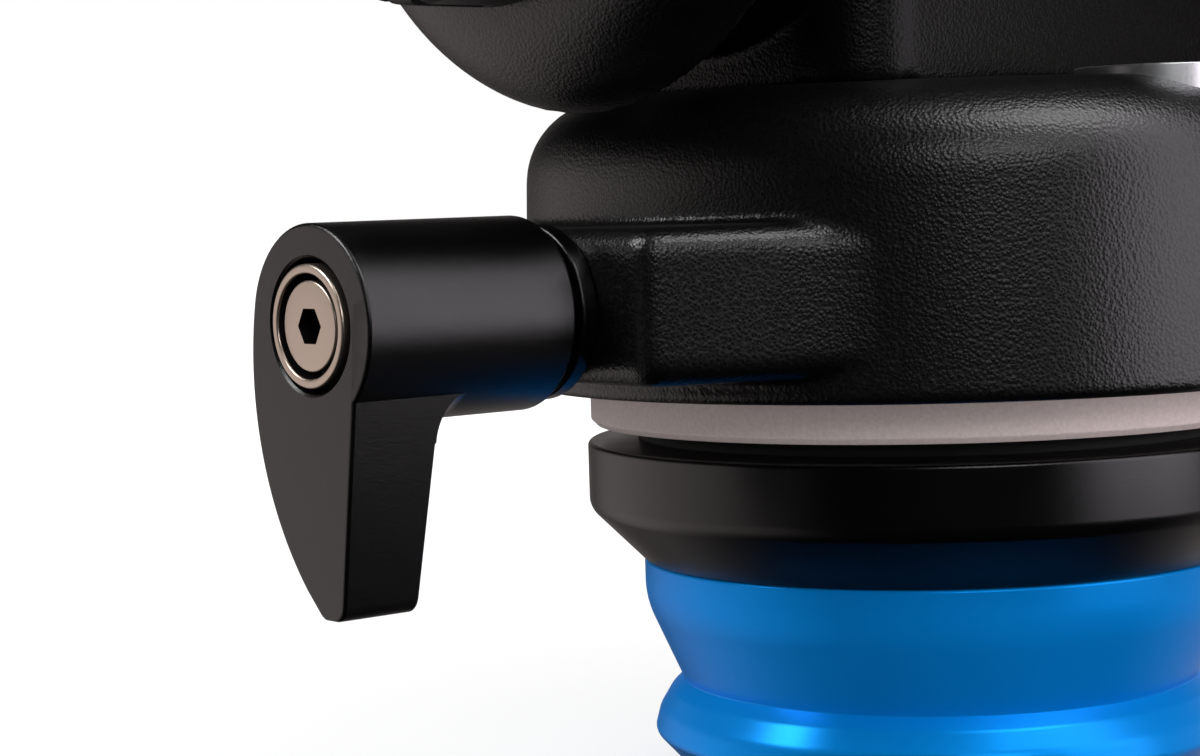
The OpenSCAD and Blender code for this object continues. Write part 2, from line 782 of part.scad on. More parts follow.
module pan_housing() {
    edge_r = house_r - house_draft - house_edge_r;
    shoulder = arc(edge_r, house_z1 - house_edge_r, house_edge_r, 0, 90, 8);
    color(cast_black) difference() {
        union() {
            lathe(concat(
                [[0, house_z0], [house_r - house_bevel, house_z0], [house_r, house_z0 + house_bevel]],
                shoulder, [[0, house_z1]]
            ));
            translate([0, 0, house_z0 + lug_under]) linear_extrude(lug_h) lug_outline();
            translate([0, -level_back, 0]) disc(level_r + level_boss_wall, roof_z0, house_z1);
        }
        disc(spigot_r + seat_clear, house_z0 - eps, spigot_z1 + face_gap / 2);
        disc(cavity_r, house_z0, roof_z0);
        disc(bush_r + seat_clear, roof_z0 - eps, roof_z1 + eps);
        disc(nut_r + nut_room, roof_z1, house_z1 + eps);
        around(4, ring_screw_ring_r, ring_screw_turn) translate([0, 0, house_z0])
            disc(ring_screw_r + seat_clear, -eps, ring_screw_grip + hole_spare);
        at_pan_lock() {
            disc(lock_screw_r + run_clear, -pan_screw_depth - hole_spare, eps);
            disc(shoe_r + run_clear, -lug_x, -pan_screw_depth - shoe_drop / 2);
        }
        at_pedestal_screws() {
            disc(pedestal_screw_r + run_clear, roof_z0 - eps, house_z1 + eps);
            disc(pedestal_head_r + head_clear, roof_z0 - eps, roof_z0 + pedestal_head_h);
        }
        translate([0, -level_back, level_z1]) disc(level_r + seat_clear, -level_h, eps);
    }
}

module drag_rotor() {
    color(bright_steel) difference() {
        union() {
            disc(cavity_r - seat_clear, rotor_z0, roof_z0);
            for (r = [vane_r1, vane_r3]) ring(r, r + vane_t, rotor_vane_z0, rotor_z0 + eps);
        }
        disc(spindle_mid_r + 1, rotor_z0 - eps, roof_z0 + eps);
    }
}

module spindle_bush() {
    color(bronze) difference() {
        union() {
            disc(bush_r, roof_z0, roof_z1);
            disc(nut_r, roof_z1, roof_z1 + bush_flange_t);
        }
        disc(spindle_top_r + run_clear, roof_z0 - eps, roof_z1 + bush_flange_t + eps);
    }
}

module level_cup() {
    color(bright_steel) translate([0, -level_back, level_z1]) difference() {
        disc(level_r, -level_h, 0);
        disc(level_r - level_wall, -level_h + level_floor, eps);
    }
}

module level_vial() {
    color(vial_green, 0.6) translate([0, -level_back, level_z1])
        disc(level_r - level_wall - seat_clear, -level_h + level_floor, -level_sink);
}

// Pedestal with the parts in its barrel

module at_pedestal_screws() {
    for (x = [-1, 1], y = [-1, 1])
        translate([x * pedestal_screw_x, y * pedestal_screw_y, 0]) children();
}

module pedestal() {
    color(cast_black) difference() {
        union() {
            at_tilt_axis() disc(barrel_r, -barrel_half, barrel_half);
            translate([0, 0, house_z1]) linear_extrude(tilt_rise)
                rounded_rect(neck_half_w, neck_half_d, neck_edge_r);
        }
        at_tilt_axis() {
            disc(barrel_bore_r, -barrel_half - eps, -web_half);
            disc(barrel_bore_r, web_half, barrel_half + eps);
            disc(shaft_r + hole_spare, -web_half - eps, web_half + eps);
            disc(brake_disc_r + face_gap, barrel_half - end_disc_t, barrel_half + eps);
        }
        disc(nut_r + nut_room, house_z1 - eps, nut_z0 + nut_h + hole_spare);
        at_pedestal_screws()
            disc(pedestal_screw_r + seat_clear, house_z1 - eps, house_z1 + pedestal_grip + hole_spare);
    }
}

module pedestal_screws() {
    color(bright_steel) at_pedestal_screws() difference() {
        union() {
            disc(pedestal_head_r, roof_z0, roof_z0 + pedestal_head_h);
            disc(pedestal_screw_r, roof_z0, house_z1 + pedestal_grip);
        }
        translate([0, 0, roof_z0 - eps])
            cylinder(r = pedestal_head_r / 2, h = pedestal_head_h / 2, $fn = 6);
    }
}

module thrust_washer() {
    color(satin_black) ring(lock_screw_r + 2 * run_clear, washer_r, 0, washer_t);
}

module pan_thrust_washer() {
    at_pan_lock() thrust_washer();
}

module tilt_bushes() {
    color(bronze) both_sides() at_tilt_axis() translate([0, 0, barrel_half - bush_sink])
        ring(shaft_r + run_clear, tilt_bush_r, -tilt_bush_len, 0);
}

module tilt_drag_stator() {
    x0 = barrel_half - end_disc_t;
    color(bright_steel) mirror([1, 0, 0]) at_tilt_axis() difference() {
        union() {
            disc(barrel_bore_r - seat_clear, x0, barrel_half);
            disc(bush_boss_r, x0 - bush_boss_len, barrel_half);
            for (r = [tilt_vane_r1, tilt_vane_r3])
                ring(r, r + vane_t, tilt_rotor_x0 + tilt_rotor_t + 2 * face_gap, x0 + eps);
        }
        disc(tilt_bush_r + seat_clear, x0 - bush_boss_len - eps, barrel_half + eps);
    }
}

module brake_disc() {
    x0 = barrel_half - end_disc_t;
    color(bright_steel) at_tilt_axis() difference() {
        union() {
            disc(brake_disc_r, x0, barrel_half);
            disc(barrel_bore_r - seat_clear, x0 - bush_boss_len, x0 + eps);
        }
        disc(tilt_bush_r + seat_clear, x0 - bush_boss_len - eps, barrel_half + eps);
    }
}

module balance_spring() {
    x1 = barrel_half - end_disc_t - bush_boss_len;
    color(bright_steel) at_tilt_axis()
        coil(balance_coil_r, balance_wire_r, balance_coils, web_half + face_gap, x1 - face_gap);
}

// Lock levers and their screws, the same on the pan and the tilt lock

module lock_screw(depth) {
    foot = tooth_foot * 180 / spline_count;
    tip = tooth_tip * 180 / spline_count;
    color(bright_steel) difference() {
        union() {
            disc(lock_screw_r, -depth, spline_z0 + eps);
            translate([0, 0, spline_z0]) linear_extrude(spline_len)
                polygon(toothed(spline_count, spline_root_r, spline_r, foot, tip));
            disc(neck_r, spline_z1 - eps, cup_z0);
        }
        disc(lever_shank_r + seat_clear, cup_z0 - lever_grip - hole_spare, cup_z0 + eps);
    }
}

module lever_cup() {
    color(warm_steel) difference() {
        lathe([
            [0, cup_z0], [cup_r, cup_z0], [cup_r, cup_z1 - cup_bevel],
            [cup_r - cup_bevel, cup_z1], [0, cup_z1]
        ]);
        disc(cup_r - cup_wall, cup_z0 + cup_floor, cup_z1 + eps);
        disc(lever_shank_r + run_clear, cup_z0 - eps, cup_z0 + cup_floor + eps);
    }
}

module lever_screw() {
    z0 = cup_z0 + cup_floor;
    color(warm_steel) difference() {
        union() {
            disc(lever_head_r, z0, z0 + lever_head_h);
            disc(lever_shank_r, cup_z0 - lever_grip, z0 + eps);
        }
        translate([0, 0, z0 + lever_head_h - hex_depth])
            rotate(30) cylinder(r = lever_hex / sqrt(3), h = hex_depth + eps, $fn = 6);
    }
}

module lever_spring() {
    mean_r = neck_r + 2 * lever_wire_r;
    color(bright_steel)
        coil(mean_r, lever_wire_r, lever_coils, web_z1 + spring_end, cup_z0 - spring_end);
}

module arm_outline() {
    back_shift = lever_back_r - lever_hub_r;
    intersection() {
        translate(back_shift * [sin(lever_back_turn), -cos(lever_back_turn)])
            circle(lever_back_r, $fn = 128);
        polygon([
            [0, lever_hub_r + 1], [0, -lever_edge_root - 1], [lever_edge_root, -lever_edge_root],
            [lever_reach, -lever_edge_tip], [lever_reach, lever_hub_r + 1]
        ]);
    }
}

module lock_lever() {
    slack = 2;
    foot = tooth_foot * 180 / spline_count + slack;
    tip = tooth_tip * 180 / spline_count + slack;
    root_r = spline_root_r + spline_clear;
    back_z = lever_z1 - lever_root_t;
    rise = (lever_root_t - lever_tip_t) / (lever_reach - lever_hub_r);
    fillet_z1 = back_z + rise * lever_fillet_r;
    fillet_z0 = fillet_z1 - lever_fillet_r;
    side = [
        [0, lever_z1], [0, back_z], [lever_hub_r, back_z], [lever_reach, lever_z1 - lever_tip_t],
        [lever_reach, lever_z1]
    ];
    fillet = concat(
        [[0, fillet_z0], [lever_hub_r, fillet_z0]],
        arc(lever_hub_r + lever_fillet_r, fillet_z0, lever_fillet_r, 180, 90), [[0, fillet_z1]]
    );
    color(satin_black) difference() {
        union() {
            disc(lever_hub_r, lever_z0, lever_z1);
            intersection() {
                translate([0, 0, lever_z0]) linear_extrude(lever_hub_len) arm_outline();
                union() {
                    rotate([90, 0, 0]) linear_extrude(3 * lever_hub_r, center = true) polygon(side);
                    lathe(fillet);
                }
            }
        }
        disc(cup_bore_r, web_z1, lever_z1 + eps);
        disc(neck_r + run_clear, web_z0 - eps, web_z1 + eps);
        translate([0, 0, spline_z0 - spring_end]) linear_extrude(web_z0 - spline_z0 + spring_end)
            polygon(toothed(spline_count, root_r, spline_r + spline_clear, foot, tip));
        disc(spline_r + face_gap, lever_z0 - eps, spline_z0 - spring_end);
    }
}

module pan_lock_screw() {
    at_pan_lock() lock_screw(pan_screw_depth);
}

module pan_lever_cup() {
    at_pan_lock() lever_cup();
}

module pan_lever_screw() {
    at_pan_lock() lever_screw();
}

module pan_lever_spring() {
    at_pan_lock() lever_spring();
}

module pan_lock_lever() {
    at_pan_lock() lock_lever();
}

module pan_brake_shoe() {
    color(bronze) difference() {
        at_pan_lock() disc(shoe_r, drum_r - lug_x - hole_spare, -pan_screw_depth - shoe_drop);
        disc(drum_r + brake_gap, lock_z - shoe_r - hole_spare, lock_z + shoe_r + hole_spare);
    }
}

// Tilting cradle

module cheek_form() {
    x0 = cheek_x0;
    edge_y = cheek_r - cheek_edge_r;
    edge_x = cheek_x1 - cheek_edge_r;
    from = asin((x0 - edge_x) / cheek_edge_r);
    side_from = acos((x0 - edge_x) / cheek_edge_r);
    edge = arc(edge_y, edge_x, cheek_edge_r, from, 90, 10);
    at_tilt_axis() lathe(concat([[0, x0]], edge, [[0, cheek_x1]]));
    half = arc(edge_x, edge_y, cheek_edge_r, side_from, 0, 10);
    other_half = [for (i = [len(half) - 1 : -1 : 0]) [half[i][0], -half[i][1]]];
    translate([0, 0, tilt_z]) linear_extrude(cheek_r) polygon(concat(half, other_half));
    at_right_rosette() disc(rosette_r + ear_wall, -cheek_t + 1, 0);
}

module cheek_cuts() {
    at_tilt_axis() disc(shaft_r + seat_clear, 0, cheek_x1 + eps);
    at_right_rosette() {
        disc(rosette_thread_r, -cheek_t, eps);
        disc(rosette_r + seat_clear, -rosette_sink, eps);
    }
    for (y = [-1, 1]) translate([cheek_screw_x, y * cheek_screw_y, 0])
        disc(cheek_screw_r + seat_clear, cheek_top_z - cheek_grip - hole_spare, cheek_top_z + eps);
}

module left_cheek() {
    color(cast_black) mirror([1, 0, 0]) difference() {
        cheek_form();
        cheek_cuts();
    }
}

module right_cheek() {
    color(cast_black) difference() {
        union() {
            cheek_form();
            at_tilt_lock() disc(lock_boss_r, -lock_boss_h - cheek_t / 2, 0);
        }
        cheek_cuts();
        at_tilt_lock() {
            disc(lock_screw_r + run_clear, -lock_boss_h - cheek_t, eps);
            disc(shoe_r + run_clear, -lock_boss_h - cheek_t - eps, -tilt_screw_depth - shoe_drop / 2);
        }
    }
}

module platform() {
    opening = dovetail_half_w + face_gap;
    throat = opening - dovetail_lean;
    jaw_back = opening + jaw_t;
    b = platform_bevel;
    color(cast_black) difference() {
        rotate([90, 0, 90]) linear_extrude(2 * platform_half_w, center = true) polygon([
            [-platform_rear, platform_z1], [-platform_rear, cheek_top_z + b],
            [-platform_rear + b, cheek_top_z], [platform_front - b, cheek_top_z],
            [platform_front, cheek_top_z + b], [platform_front, platform_z1]
        ]);
        rotate([90, 0, 0]) linear_extrude(4 * platform_front, center = true) polygon([
            [-opening, dovetail_z0], [opening, dovetail_z0],
            [throat, platform_z1 + eps], [-throat, platform_z1 + eps]
        ]);
        translate([-jaw_back - face_gap, clamp_y - jaw_half_len - face_gap, jaw_z0 - face_gap])
            cube([jaw_t + dovetail_lean + 3, 2 * (jaw_half_len + face_gap), platform_h]);
        translate([-platform_half_w - eps, clamp_y, clamp_z]) along_x()
            disc(clamp_stud_r + run_clear, 0, platform_half_w - jaw_back + hole_spare);
        translate([platform_half_w + eps, button_y, button_z]) along_x()
            disc(button_stem_r + run_clear, -button_stem_len - button_travel - hole_spare, eps);
        for (x = [-1, 1], y = [-1, 1]) translate([x * cheek_screw_x, y * cheek_screw_y, 0]) {
            disc(cheek_screw_r + run_clear, cheek_top_z - eps, platform_z1 + eps);
            disc(cheek_head_r + head_clear, cheek_head_z1 - cheek_head_h, platform_z1 + eps);
        }
    }
}

module cheek_screws() {
    z1 = cheek_head_z1;
    color(bright_steel) for (x = [-1, 1], y = [-1, 1])
        translate([x * cheek_screw_x, y * cheek_screw_y, 0]) difference() {
            union() {
                disc(cheek_head_r, z1 - cheek_head_h, z1);
                disc(cheek_screw_r, cheek_top_z - cheek_grip, z1);
            }
            translate([0, 0, z1 - cheek_head_h / 2])
                cylinder(r = cheek_head_r / 2, h = cheek_head_h, $fn = 6);
        }
}

module tilt_shaft() {
    color(bright_steel) at_tilt_axis() {
        disc(shaft_r, -cheek_x1, cheek_x1);
        disc(stub_r, -cheek_x1 - stub_len, cheek_x1 + stub_len);
    }
}

module tilt_drag_rotor() {
    x0 = tilt_rotor_x0;
    x1 = barrel_half - end_disc_t - 2 * face_gap;
    color(bright_steel) mirror([1, 0, 0]) at_tilt_axis() difference() {
        union() {
            disc(tilt_vane_r4 + vane_t, x0, x0 + tilt_rotor_t);
            for (r = [tilt_vane_r2, tilt_vane_r4]) ring(r, r + vane_t, x0, x1);
            disc(tilt_bush_r, x0, x0 + tilt_rotor_hub);
        }
        disc(shaft_r + seat_clear, x0 - eps, x1);
    }
}

// A round plate with a ring of radial teeth, and a bore
module rosette(bore_r) {
    tooth_r0 = rosette_r * 0.5;
    tooth_half = tooth_r0 * PI / rosette_teeth * 0.9;
    difference() {
        union() {
            disc(rosette_r, -rosette_sink, 0);
            around(rosette_teeth, tooth_r0)
                rotate([90, 0, 90]) linear_extrude(rosette_r - tooth_r0 - ear_wall)
                    polygon([[-tooth_half, -eps], [tooth_half, -eps], [0, tooth_h]]);
        }
        disc(bore_r, -rosette_sink - eps, tooth_h + eps);
    }
}

module rosettes() {
    color(bright_steel) both_sides() at_right_rosette() rosette(rosette_thread_r);
}

module tilt_thrust_washer() {
    at_tilt_lock() thrust_washer();
}

module tilt_lock_screw() {
    at_tilt_lock() lock_screw(tilt_screw_depth);
}

module tilt_lever_cup() {
    at_tilt_lock() lever_cup();
}

module tilt_lever_screw() {
    at_tilt_lock() lever_screw();
}

module tilt_lever_spring() {
    at_tilt_lock() lever_spring();
}

module tilt_lock_lever() {
    at_tilt_lock() lock_lever();
}

module tilt_brake_shoe() {
    foot = barrel_half + brake_gap - boss_x;
    color(bronze) at_tilt_lock() disc(shoe_r, foot, -tilt_screw_depth - shoe_drop);
}

// Dials

module dial(r) {
    edge = 1.5;
    dish = 1.2;
    dish_r = r * 0.6;
    skirt = 1.6;
    z0 = face_gap;
    color(satin_black) difference() {
        lathe(concat(
            [[0, z0], [r - small_bevel, z0], [r, z0 + small_bevel]],
            arc(r - edge, dial_h - edge, edge, 0, 90, 5),
            [[dish_r, dial_h], [dish_r - dish, dial_h - dish], [0, dial_h - dish]]
        ));
        disc(stub_r + run_clear, z0 - eps, stub_len + face_gap);
        around(dial_grooves, r + dial_groove_r * 0.4) disc(dial_groove_r, z0 + skirt, dial_h + eps);
    }
}

module tilt_drag_dial() {
    mirror([1, 0, 0]) at_tilt_axis() translate([0, 0, cheek_x1]) dial(drag_dial_r);
}

module balance_dial() {
    at_tilt_axis() translate([0, 0, cheek_x1]) dial(balance_dial_r);
}

// Camera plate with its screw, clamp and safety button

module camera_plate() {
    w = dovetail_half_w;
    head_room = camera_head_r + face_gap;
    slot_r = camera_stud_r + slot_clear;
    color(satin_black) difference() {
        union() {
            rotate([90, 0, 0]) linear_extrude(2 * plate_half_len, center = true) polygon([
                [-w, plate_z0], [w, plate_z0], [w - dovetail_lean, plate_top_z0 + eps],
                [-w + dovetail_lean, plate_top_z0 + eps]
            ]);
            translate([0, 0, plate_top_z0]) linear_extrude(plate_top_t)
                rounded_rect(plate_half_w, plate_half_len, plate_edge_r);
        }
        translate([0, 0, plate_z0 - eps]) linear_extrude(2 * plate_top_t + dovetail_h)
            rounded_rect(slot_r, slot_half_len, slot_r - eps);
        translate([0, 0, plate_z0 - eps]) linear_extrude(camera_head_h + camera_head_drop + face_gap)
            rounded_rect(head_room, slot_half_len + head_room - camera_stud_r, head_room - eps);
        for (x = [-1, 1]) translate([x * pad_x, 0, plate_top_z1 - pad_sink]) linear_extrude(pad_sink + eps)
            rounded_rect(pad_half_w + seat_clear, pad_half_len + seat_clear, pad_edge_r + seat_clear);
    }
}

module plate_pads() {
    color(rubber_black) for (x = [-1, 1]) translate([x * pad_x, 0, plate_top_z1 - pad_sink])
        linear_extrude(pad_t) rounded_rect(pad_half_w, pad_half_len, pad_edge_r);
}

module camera_screw() {
    z0 = plate_z0 + camera_head_drop;
    slot_w = 1.6;
    color(bright_steel) difference() {
        union() {
            disc(camera_head_r, z0, z0 + camera_head_h);
            disc(camera_neck_r, z0, pad_z1 + camera_stud_h);
            disc(camera_stud_r, pad_z1 + camera_thread_lift, pad_z1 + camera_stud_h);
        }
        translate([-camera_head_r, -slot_w / 2, z0 - eps])
            cube([2 * camera_head_r, slot_w, camera_head_h / 2]);
    }
}

// A knob with deep finger lobes, turned about Z
module lobed_knob(r, length, lobes) {
    edge = 1.5;
    difference() {
        lathe(concat(
            [[0, 0], [r * 0.6, 0], [r, length * 0.3]],
            arc(r - edge, length - edge, edge, 0, 90, 4), [[0, length]]
        ));
        around(lobes, r * 1.16) disc(r * 0.3, -eps, length + eps);
    }
}

module clamp_knob() {
    stud = platform_half_w - dovetail_half_w - jaw_t - 2 * face_gap;
    x0 = -platform_half_w - face_gap;
    color(satin_black) translate([x0, clamp_y, clamp_z]) mirror([1, 0, 0]) along_x() {
        lobed_knob(clamp_knob_r, clamp_knob_len, 7);
        disc(clamp_stud_r, -stud, 1);
    }
}

module clamp_jaw() {
    foot = -dovetail_half_w - face_gap;
    tip = foot + dovetail_lean;
    color(bright_steel) translate([0, clamp_y, 0])
        rotate([90, 0, 0]) linear_extrude(2 * jaw_half_len, center = true) polygon([
            [foot - jaw_t, jaw_z0], [foot - jaw_slack, jaw_z0], [foot - jaw_slack, dovetail_z0],
            [tip - jaw_slack, platform_z1], [foot - jaw_t, platform_z1]
        ]);
}

module safety_button() {
    cap_z0 = button_travel + face_gap;
    cap_z1 = cap_z0 + button_cap_t;
    edge = 1;
    color(safety_red) translate([platform_half_w, button_y, button_z]) along_x() {
        lathe(concat(
            [[0, cap_z0], [button_r, cap_z0]],
            arc(button_r - edge, cap_z1 - edge, edge, 0, 90, 4), [[0, cap_z1]]
        ));
        disc(button_stem_r, -button_stem_len, cap_z0 + eps);
    }
}

// Pan bar

module along_bar() {
    translate([bar_x, rosette_y, rosette_z]) rotate([90 + bar_drop, 0, 0]) children();
}

module bar_clamp() {
    x0 = bar_clamp_x0;
    color(cast_black) difference() {
        union() {
            translate([x0, rosette_y, rosette_z]) {
                along_x() disc(bar_clamp_r, 0, bar_clamp_t);
                mirror([1, 0, 0]) along_x() rotate(180 / rosette_teeth) rosette(rosette_thread_r);
            }
            along_bar() disc(socket_r, 0, socket_len);
        }
        translate([x0, rosette_y, rosette_z]) along_x()
            disc(rosette_thread_r + face_gap, -2 * tooth_h, bar_clamp_t + eps);
        along_bar() disc(bar_r + seat_clear, bar_z0, socket_len + eps);
    }
}

module bar_tube() {
    color(satin_black) along_bar() ring(bar_r - bar_wall, bar_r, bar_z0, bar_len - grip_end_t);
}

module bar_grip() {
    z0 = bar_len - grip_len;
    edge = 5;
    lip = 2;
    flare = 4;
    waist_r = grip_r - 1;
    color(rubber_black) along_bar() difference() {
        lathe(concat(
            [[0, z0], [bar_r + lip, z0], [waist_r, z0 + flare], [waist_r, z0 + grip_len / 2]],
            arc(grip_r - edge, bar_len - edge, edge, 0, 90, 5), [[0, bar_len]]
        ));
        disc(bar_r + seat_clear, z0 - eps, bar_len - grip_end_t);
    }
}

module bar_knob() {
    color(satin_black) translate([bar_knob_x0, rosette_y, rosette_z]) along_x() {
        lobed_knob(bar_knob_r, bar_knob_len, 6);
        disc(rosette_thread_r - run_clear, ear_x - bar_knob_x0 - stud_grip, 1);
    }
}

base_foot();
thread_insert();
base_plate();
base_screws();
pan_spindle();
bearing_inner();
pan_seal();
drag_cup();
preload_washer();
spindle_nut();
bearing_ring();
ring_screws();
bearing_outer();
bearing_balls();
bearing_circlip();
pan_housing();
drag_rotor();
spindle_bush();
level_cup();
level_vial();
pedestal();
pedestal_screws();
pan_thrust_washer();
tilt_bushes();
tilt_drag_stator();
brake_disc();
balance_spring();
pan_lock_screw();
pan_lever_cup();
pan_lever_screw();
pan_lever_spring();
pan_lock_lever();
pan_brake_shoe();
left_cheek();
right_cheek();
platform();
cheek_screws();
tilt_shaft();
tilt_drag_rotor();
rosettes();
tilt_thrust_washer();
tilt_lock_screw();
tilt_lever_cup();
tilt_lever_screw();
tilt_lever_spring();
tilt_lock_lever();
tilt_brake_shoe();
tilt_drag_dial();
balance_dial();
camera_plate();
plate_pads();
camera_screw();
clamp_knob();
clamp_jaw();
safety_button();
bar_clamp();
bar_tube();
bar_grip();
bar_knob();
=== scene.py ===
import math

import bmesh
import bpy
from mathutils import Matrix, Vector


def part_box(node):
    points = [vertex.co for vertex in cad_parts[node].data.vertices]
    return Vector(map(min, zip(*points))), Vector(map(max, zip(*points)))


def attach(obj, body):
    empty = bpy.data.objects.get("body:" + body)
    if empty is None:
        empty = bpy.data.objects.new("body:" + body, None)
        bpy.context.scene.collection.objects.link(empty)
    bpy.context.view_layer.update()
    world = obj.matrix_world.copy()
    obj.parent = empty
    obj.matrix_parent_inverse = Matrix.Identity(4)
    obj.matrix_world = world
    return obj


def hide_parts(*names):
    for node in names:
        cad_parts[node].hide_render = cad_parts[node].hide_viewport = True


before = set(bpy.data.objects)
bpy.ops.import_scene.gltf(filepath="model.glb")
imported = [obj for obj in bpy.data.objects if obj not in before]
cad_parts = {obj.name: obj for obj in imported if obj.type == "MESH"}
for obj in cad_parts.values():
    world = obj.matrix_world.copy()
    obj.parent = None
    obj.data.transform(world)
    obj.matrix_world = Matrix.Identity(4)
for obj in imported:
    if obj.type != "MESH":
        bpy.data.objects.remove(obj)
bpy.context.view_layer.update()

# Base foot: the waisted foot that stands on the tripod, turned from aluminium bar and anodised azure.
# Four deep screws go up through it, and a steel insert in its middle takes the tripod's thread.
MM = 0.001


def rounded(corners, steps=6):
    """An outline through corners given as (x, y, rounding), in millimetres."""
    outline = []
    for i, (x, y, r) in enumerate(corners):
        corner = Vector((x, y))
        if r == 0:
            outline.append(corner)
            continue
        back = (Vector(corners[i - 1][:2]) - corner).normalized()
        ahead = (Vector(corners[(i + 1) % len(corners)][:2]) - corner).normalized()
        half = back.angle(ahead) / 2
        centre = corner + (back + ahead).normalized() * (r / math.sin(half))
        first = corner + back * (r / math.tan(half)) - centre
        last = corner + ahead * (r / math.tan(half)) - centre
        start = math.atan2(first.y, first.x)
        turn = (math.atan2(last.y, last.x) - start + math.pi) % math.tau - math.pi
        for k in range(steps + 1):
            a = start + turn * k / steps
            outline.append(centre + Vector((math.cos(a), math.sin(a))) * r)
    return outline


def shaded(bm, sharp=32):
    """Smooth faces, with a hard line where they meet at more than sharp degrees."""
    for face in bm.faces:
        face.smooth = True
    for edge in bm.edges:
        edge.smooth = edge.calc_face_angle(0) < math.radians(sharp)


def piece(name, bm, place=Matrix()):
    """A finished object from a shape in millimetres, set in place."""
    bmesh.ops.transform(bm, matrix=place @ Matrix.Scale(MM, 4), verts=bm.verts)
    bmesh.ops.recalc_face_normals(bm, faces=bm.faces)
    shaded(bm)
    mesh = bpy.data.meshes.new(name)
    bm.to_mesh(mesh)
    bm.free()
    obj = bpy.data.objects.new(name, mesh)
    bpy.context.collection.objects.link(obj)
    return obj


def turned(outline, segments=160, closed=False):
    """A shape turned about Z from an outline of (radius, height), closed where it is a ring."""
    bm = bmesh.new()
    verts = [bm.verts.new((r, 0, z)) for r, z in outline]
    ends = verts[1:] + verts[:1] if closed else verts[1:]
    edges = [bm.edges.new(pair) for pair in zip(verts, ends)]
    bmesh.ops.spin(bm, geom=verts + edges, cent=(0, 0, 0), axis=(0, 0, 1), angle=math.tau,
                   steps=segments, use_merge=True)
    bmesh.ops.remove_doubles(bm, verts=bm.verts, dist=0.0005)
    bmesh.ops.recalc_face_normals(bm, faces=bm.faces)
    return bm


def cut(obj, *tools, how="DIFFERENCE"):
    """The object with each tool's shape taken out of it, or joined to it, or kept where both are."""
    for tool in tools:
        step = obj.modifiers.new("cut", "BOOLEAN")
        step.operation = how
        step.solver = "EXACT"
        step.object = tool
    applied(obj)
    for tool in tools:
        bpy.data.objects.remove(tool)


def applied(obj):
    """The object with its modifiers worked into its mesh."""
    graph = bpy.context.evaluated_depsgraph_get()
    mesh = bpy.data.meshes.new_from_object(obj.evaluated_get(graph))
    obj.modifiers.clear()
    obj.data = mesh
    bm = bmesh.new()
    bm.from_mesh(mesh)
    shaded(bm)
    bm.to_mesh(mesh)
    bm.free()


def coated(obj, *materials):
    """The object in its finishes, the main one first."""
    for material in materials:
        obj.data.materials.append(material)
    return obj


def fitted(obj, body, slot, *nodes):
    """The object rides on its body in place of these solids; the slot is not used."""
    flat = obj.modifiers.new("flat", "WEIGHTED_NORMAL")
    flat.keep_sharp = True
    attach(obj, body)
    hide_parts(*nodes)


def finish(name, colour, metallic, roughness):
    """A new material with its shader's plain values set, and its node tree's usual parts."""
    material = bpy.data.materials.new(name)
    material.use_nodes = True
    tree = material.node_tree
    shader = tree.nodes["Principled BSDF"]
    shader.inputs["Base Color"].default_value = (*colour, 1)
    shader.inputs["Metallic"].default_value = metallic
    shader.inputs["Roughness"].default_value = roughness
    place = tree.nodes.new("ShaderNodeTexCoord").outputs["Object"]
    return material, tree, shader, place


def noise(tree, place, scale, detail=2.0, rough=0.5):
    """A noise texture on a coordinate, with its scale in cycles a metre."""
    node = tree.nodes.new("ShaderNodeTexNoise")
    node.inputs["Scale"].default_value = scale
    node.inputs["Detail"].default_value = detail
    node.inputs["Roughness"].default_value = rough
    tree.links.new(place, node.inputs["Vector"])
    return node.outputs["Fac"]


def ramp(tree, value, low, high, from_low=0.0, from_high=1.0):
    """A value spread from one range to another."""
    node = tree.nodes.new("ShaderNodeMapRange")
    node.inputs["From Min"].default_value = from_low
    node.inputs["From Max"].default_value = from_high
    node.inputs["To Min"].default_value = low
    node.inputs["To Max"].default_value = high
    tree.links.new(value, node.inputs["Value"])
    return node.outputs["Result"]


def shades(tree, value, dark, light):
    """A colour between two shades."""
    node = tree.nodes.new("ShaderNodeValToRGB")
    node.color_ramp.elements[0].position = 0.3
    node.color_ramp.elements[0].color = (*dark, 1)
    node.color_ramp.elements[1].position = 0.7
    node.color_ramp.elements[1].color = (*light, 1)
    tree.links.new(value, node.inputs["Fac"])
    return node.outputs["Color"]


def bumped(tree, shader, height, strength, depth):
    """Relief on the shader from a height, with its depth in metres."""
    node = tree.nodes.new("ShaderNodeBump")
    node.inputs["Strength"].default_value = strength
    node.inputs["Distance"].default_value = depth
    tree.links.new(height, node.inputs["Height"])
    tree.links.new(node.outputs["Normal"], shader.inputs["Normal"])
    return node


def around_axis(tree, place, centre=(0, 0, 0), turn=(0, 0, 0)):
    """A coordinate of radius and height about an axis, for marks that a lathe leaves."""
    move = tree.nodes.new("ShaderNodeMapping")
    move.vector_type = "TEXTURE"
    move.inputs["Location"].default_value = centre
    move.inputs["Rotation"].default_value = turn
    tree.links.new(place, move.inputs["Vector"])
    split = tree.nodes.new("ShaderNodeSeparateXYZ")
    tree.links.new(move.outputs["Vector"], split.inputs["Vector"])
    flat = tree.nodes.new("ShaderNodeCombineXYZ")
    tree.links.new(split.outputs["X"], flat.inputs["X"])
    tree.links.new(split.outputs["Y"], flat.inputs["Y"])
    length = tree.nodes.new("ShaderNodeVectorMath")
    length.operation = "LENGTH"
    tree.links.new(flat.outputs["Vector"], length.inputs[0])
    rings = tree.nodes.new("ShaderNodeCombineXYZ")
    tree.links.new(length.outputs["Value"], rings.inputs["X"])
    tree.links.new(split.outputs["Z"], rings.inputs["Z"])
    return rings.outputs["Vector"]


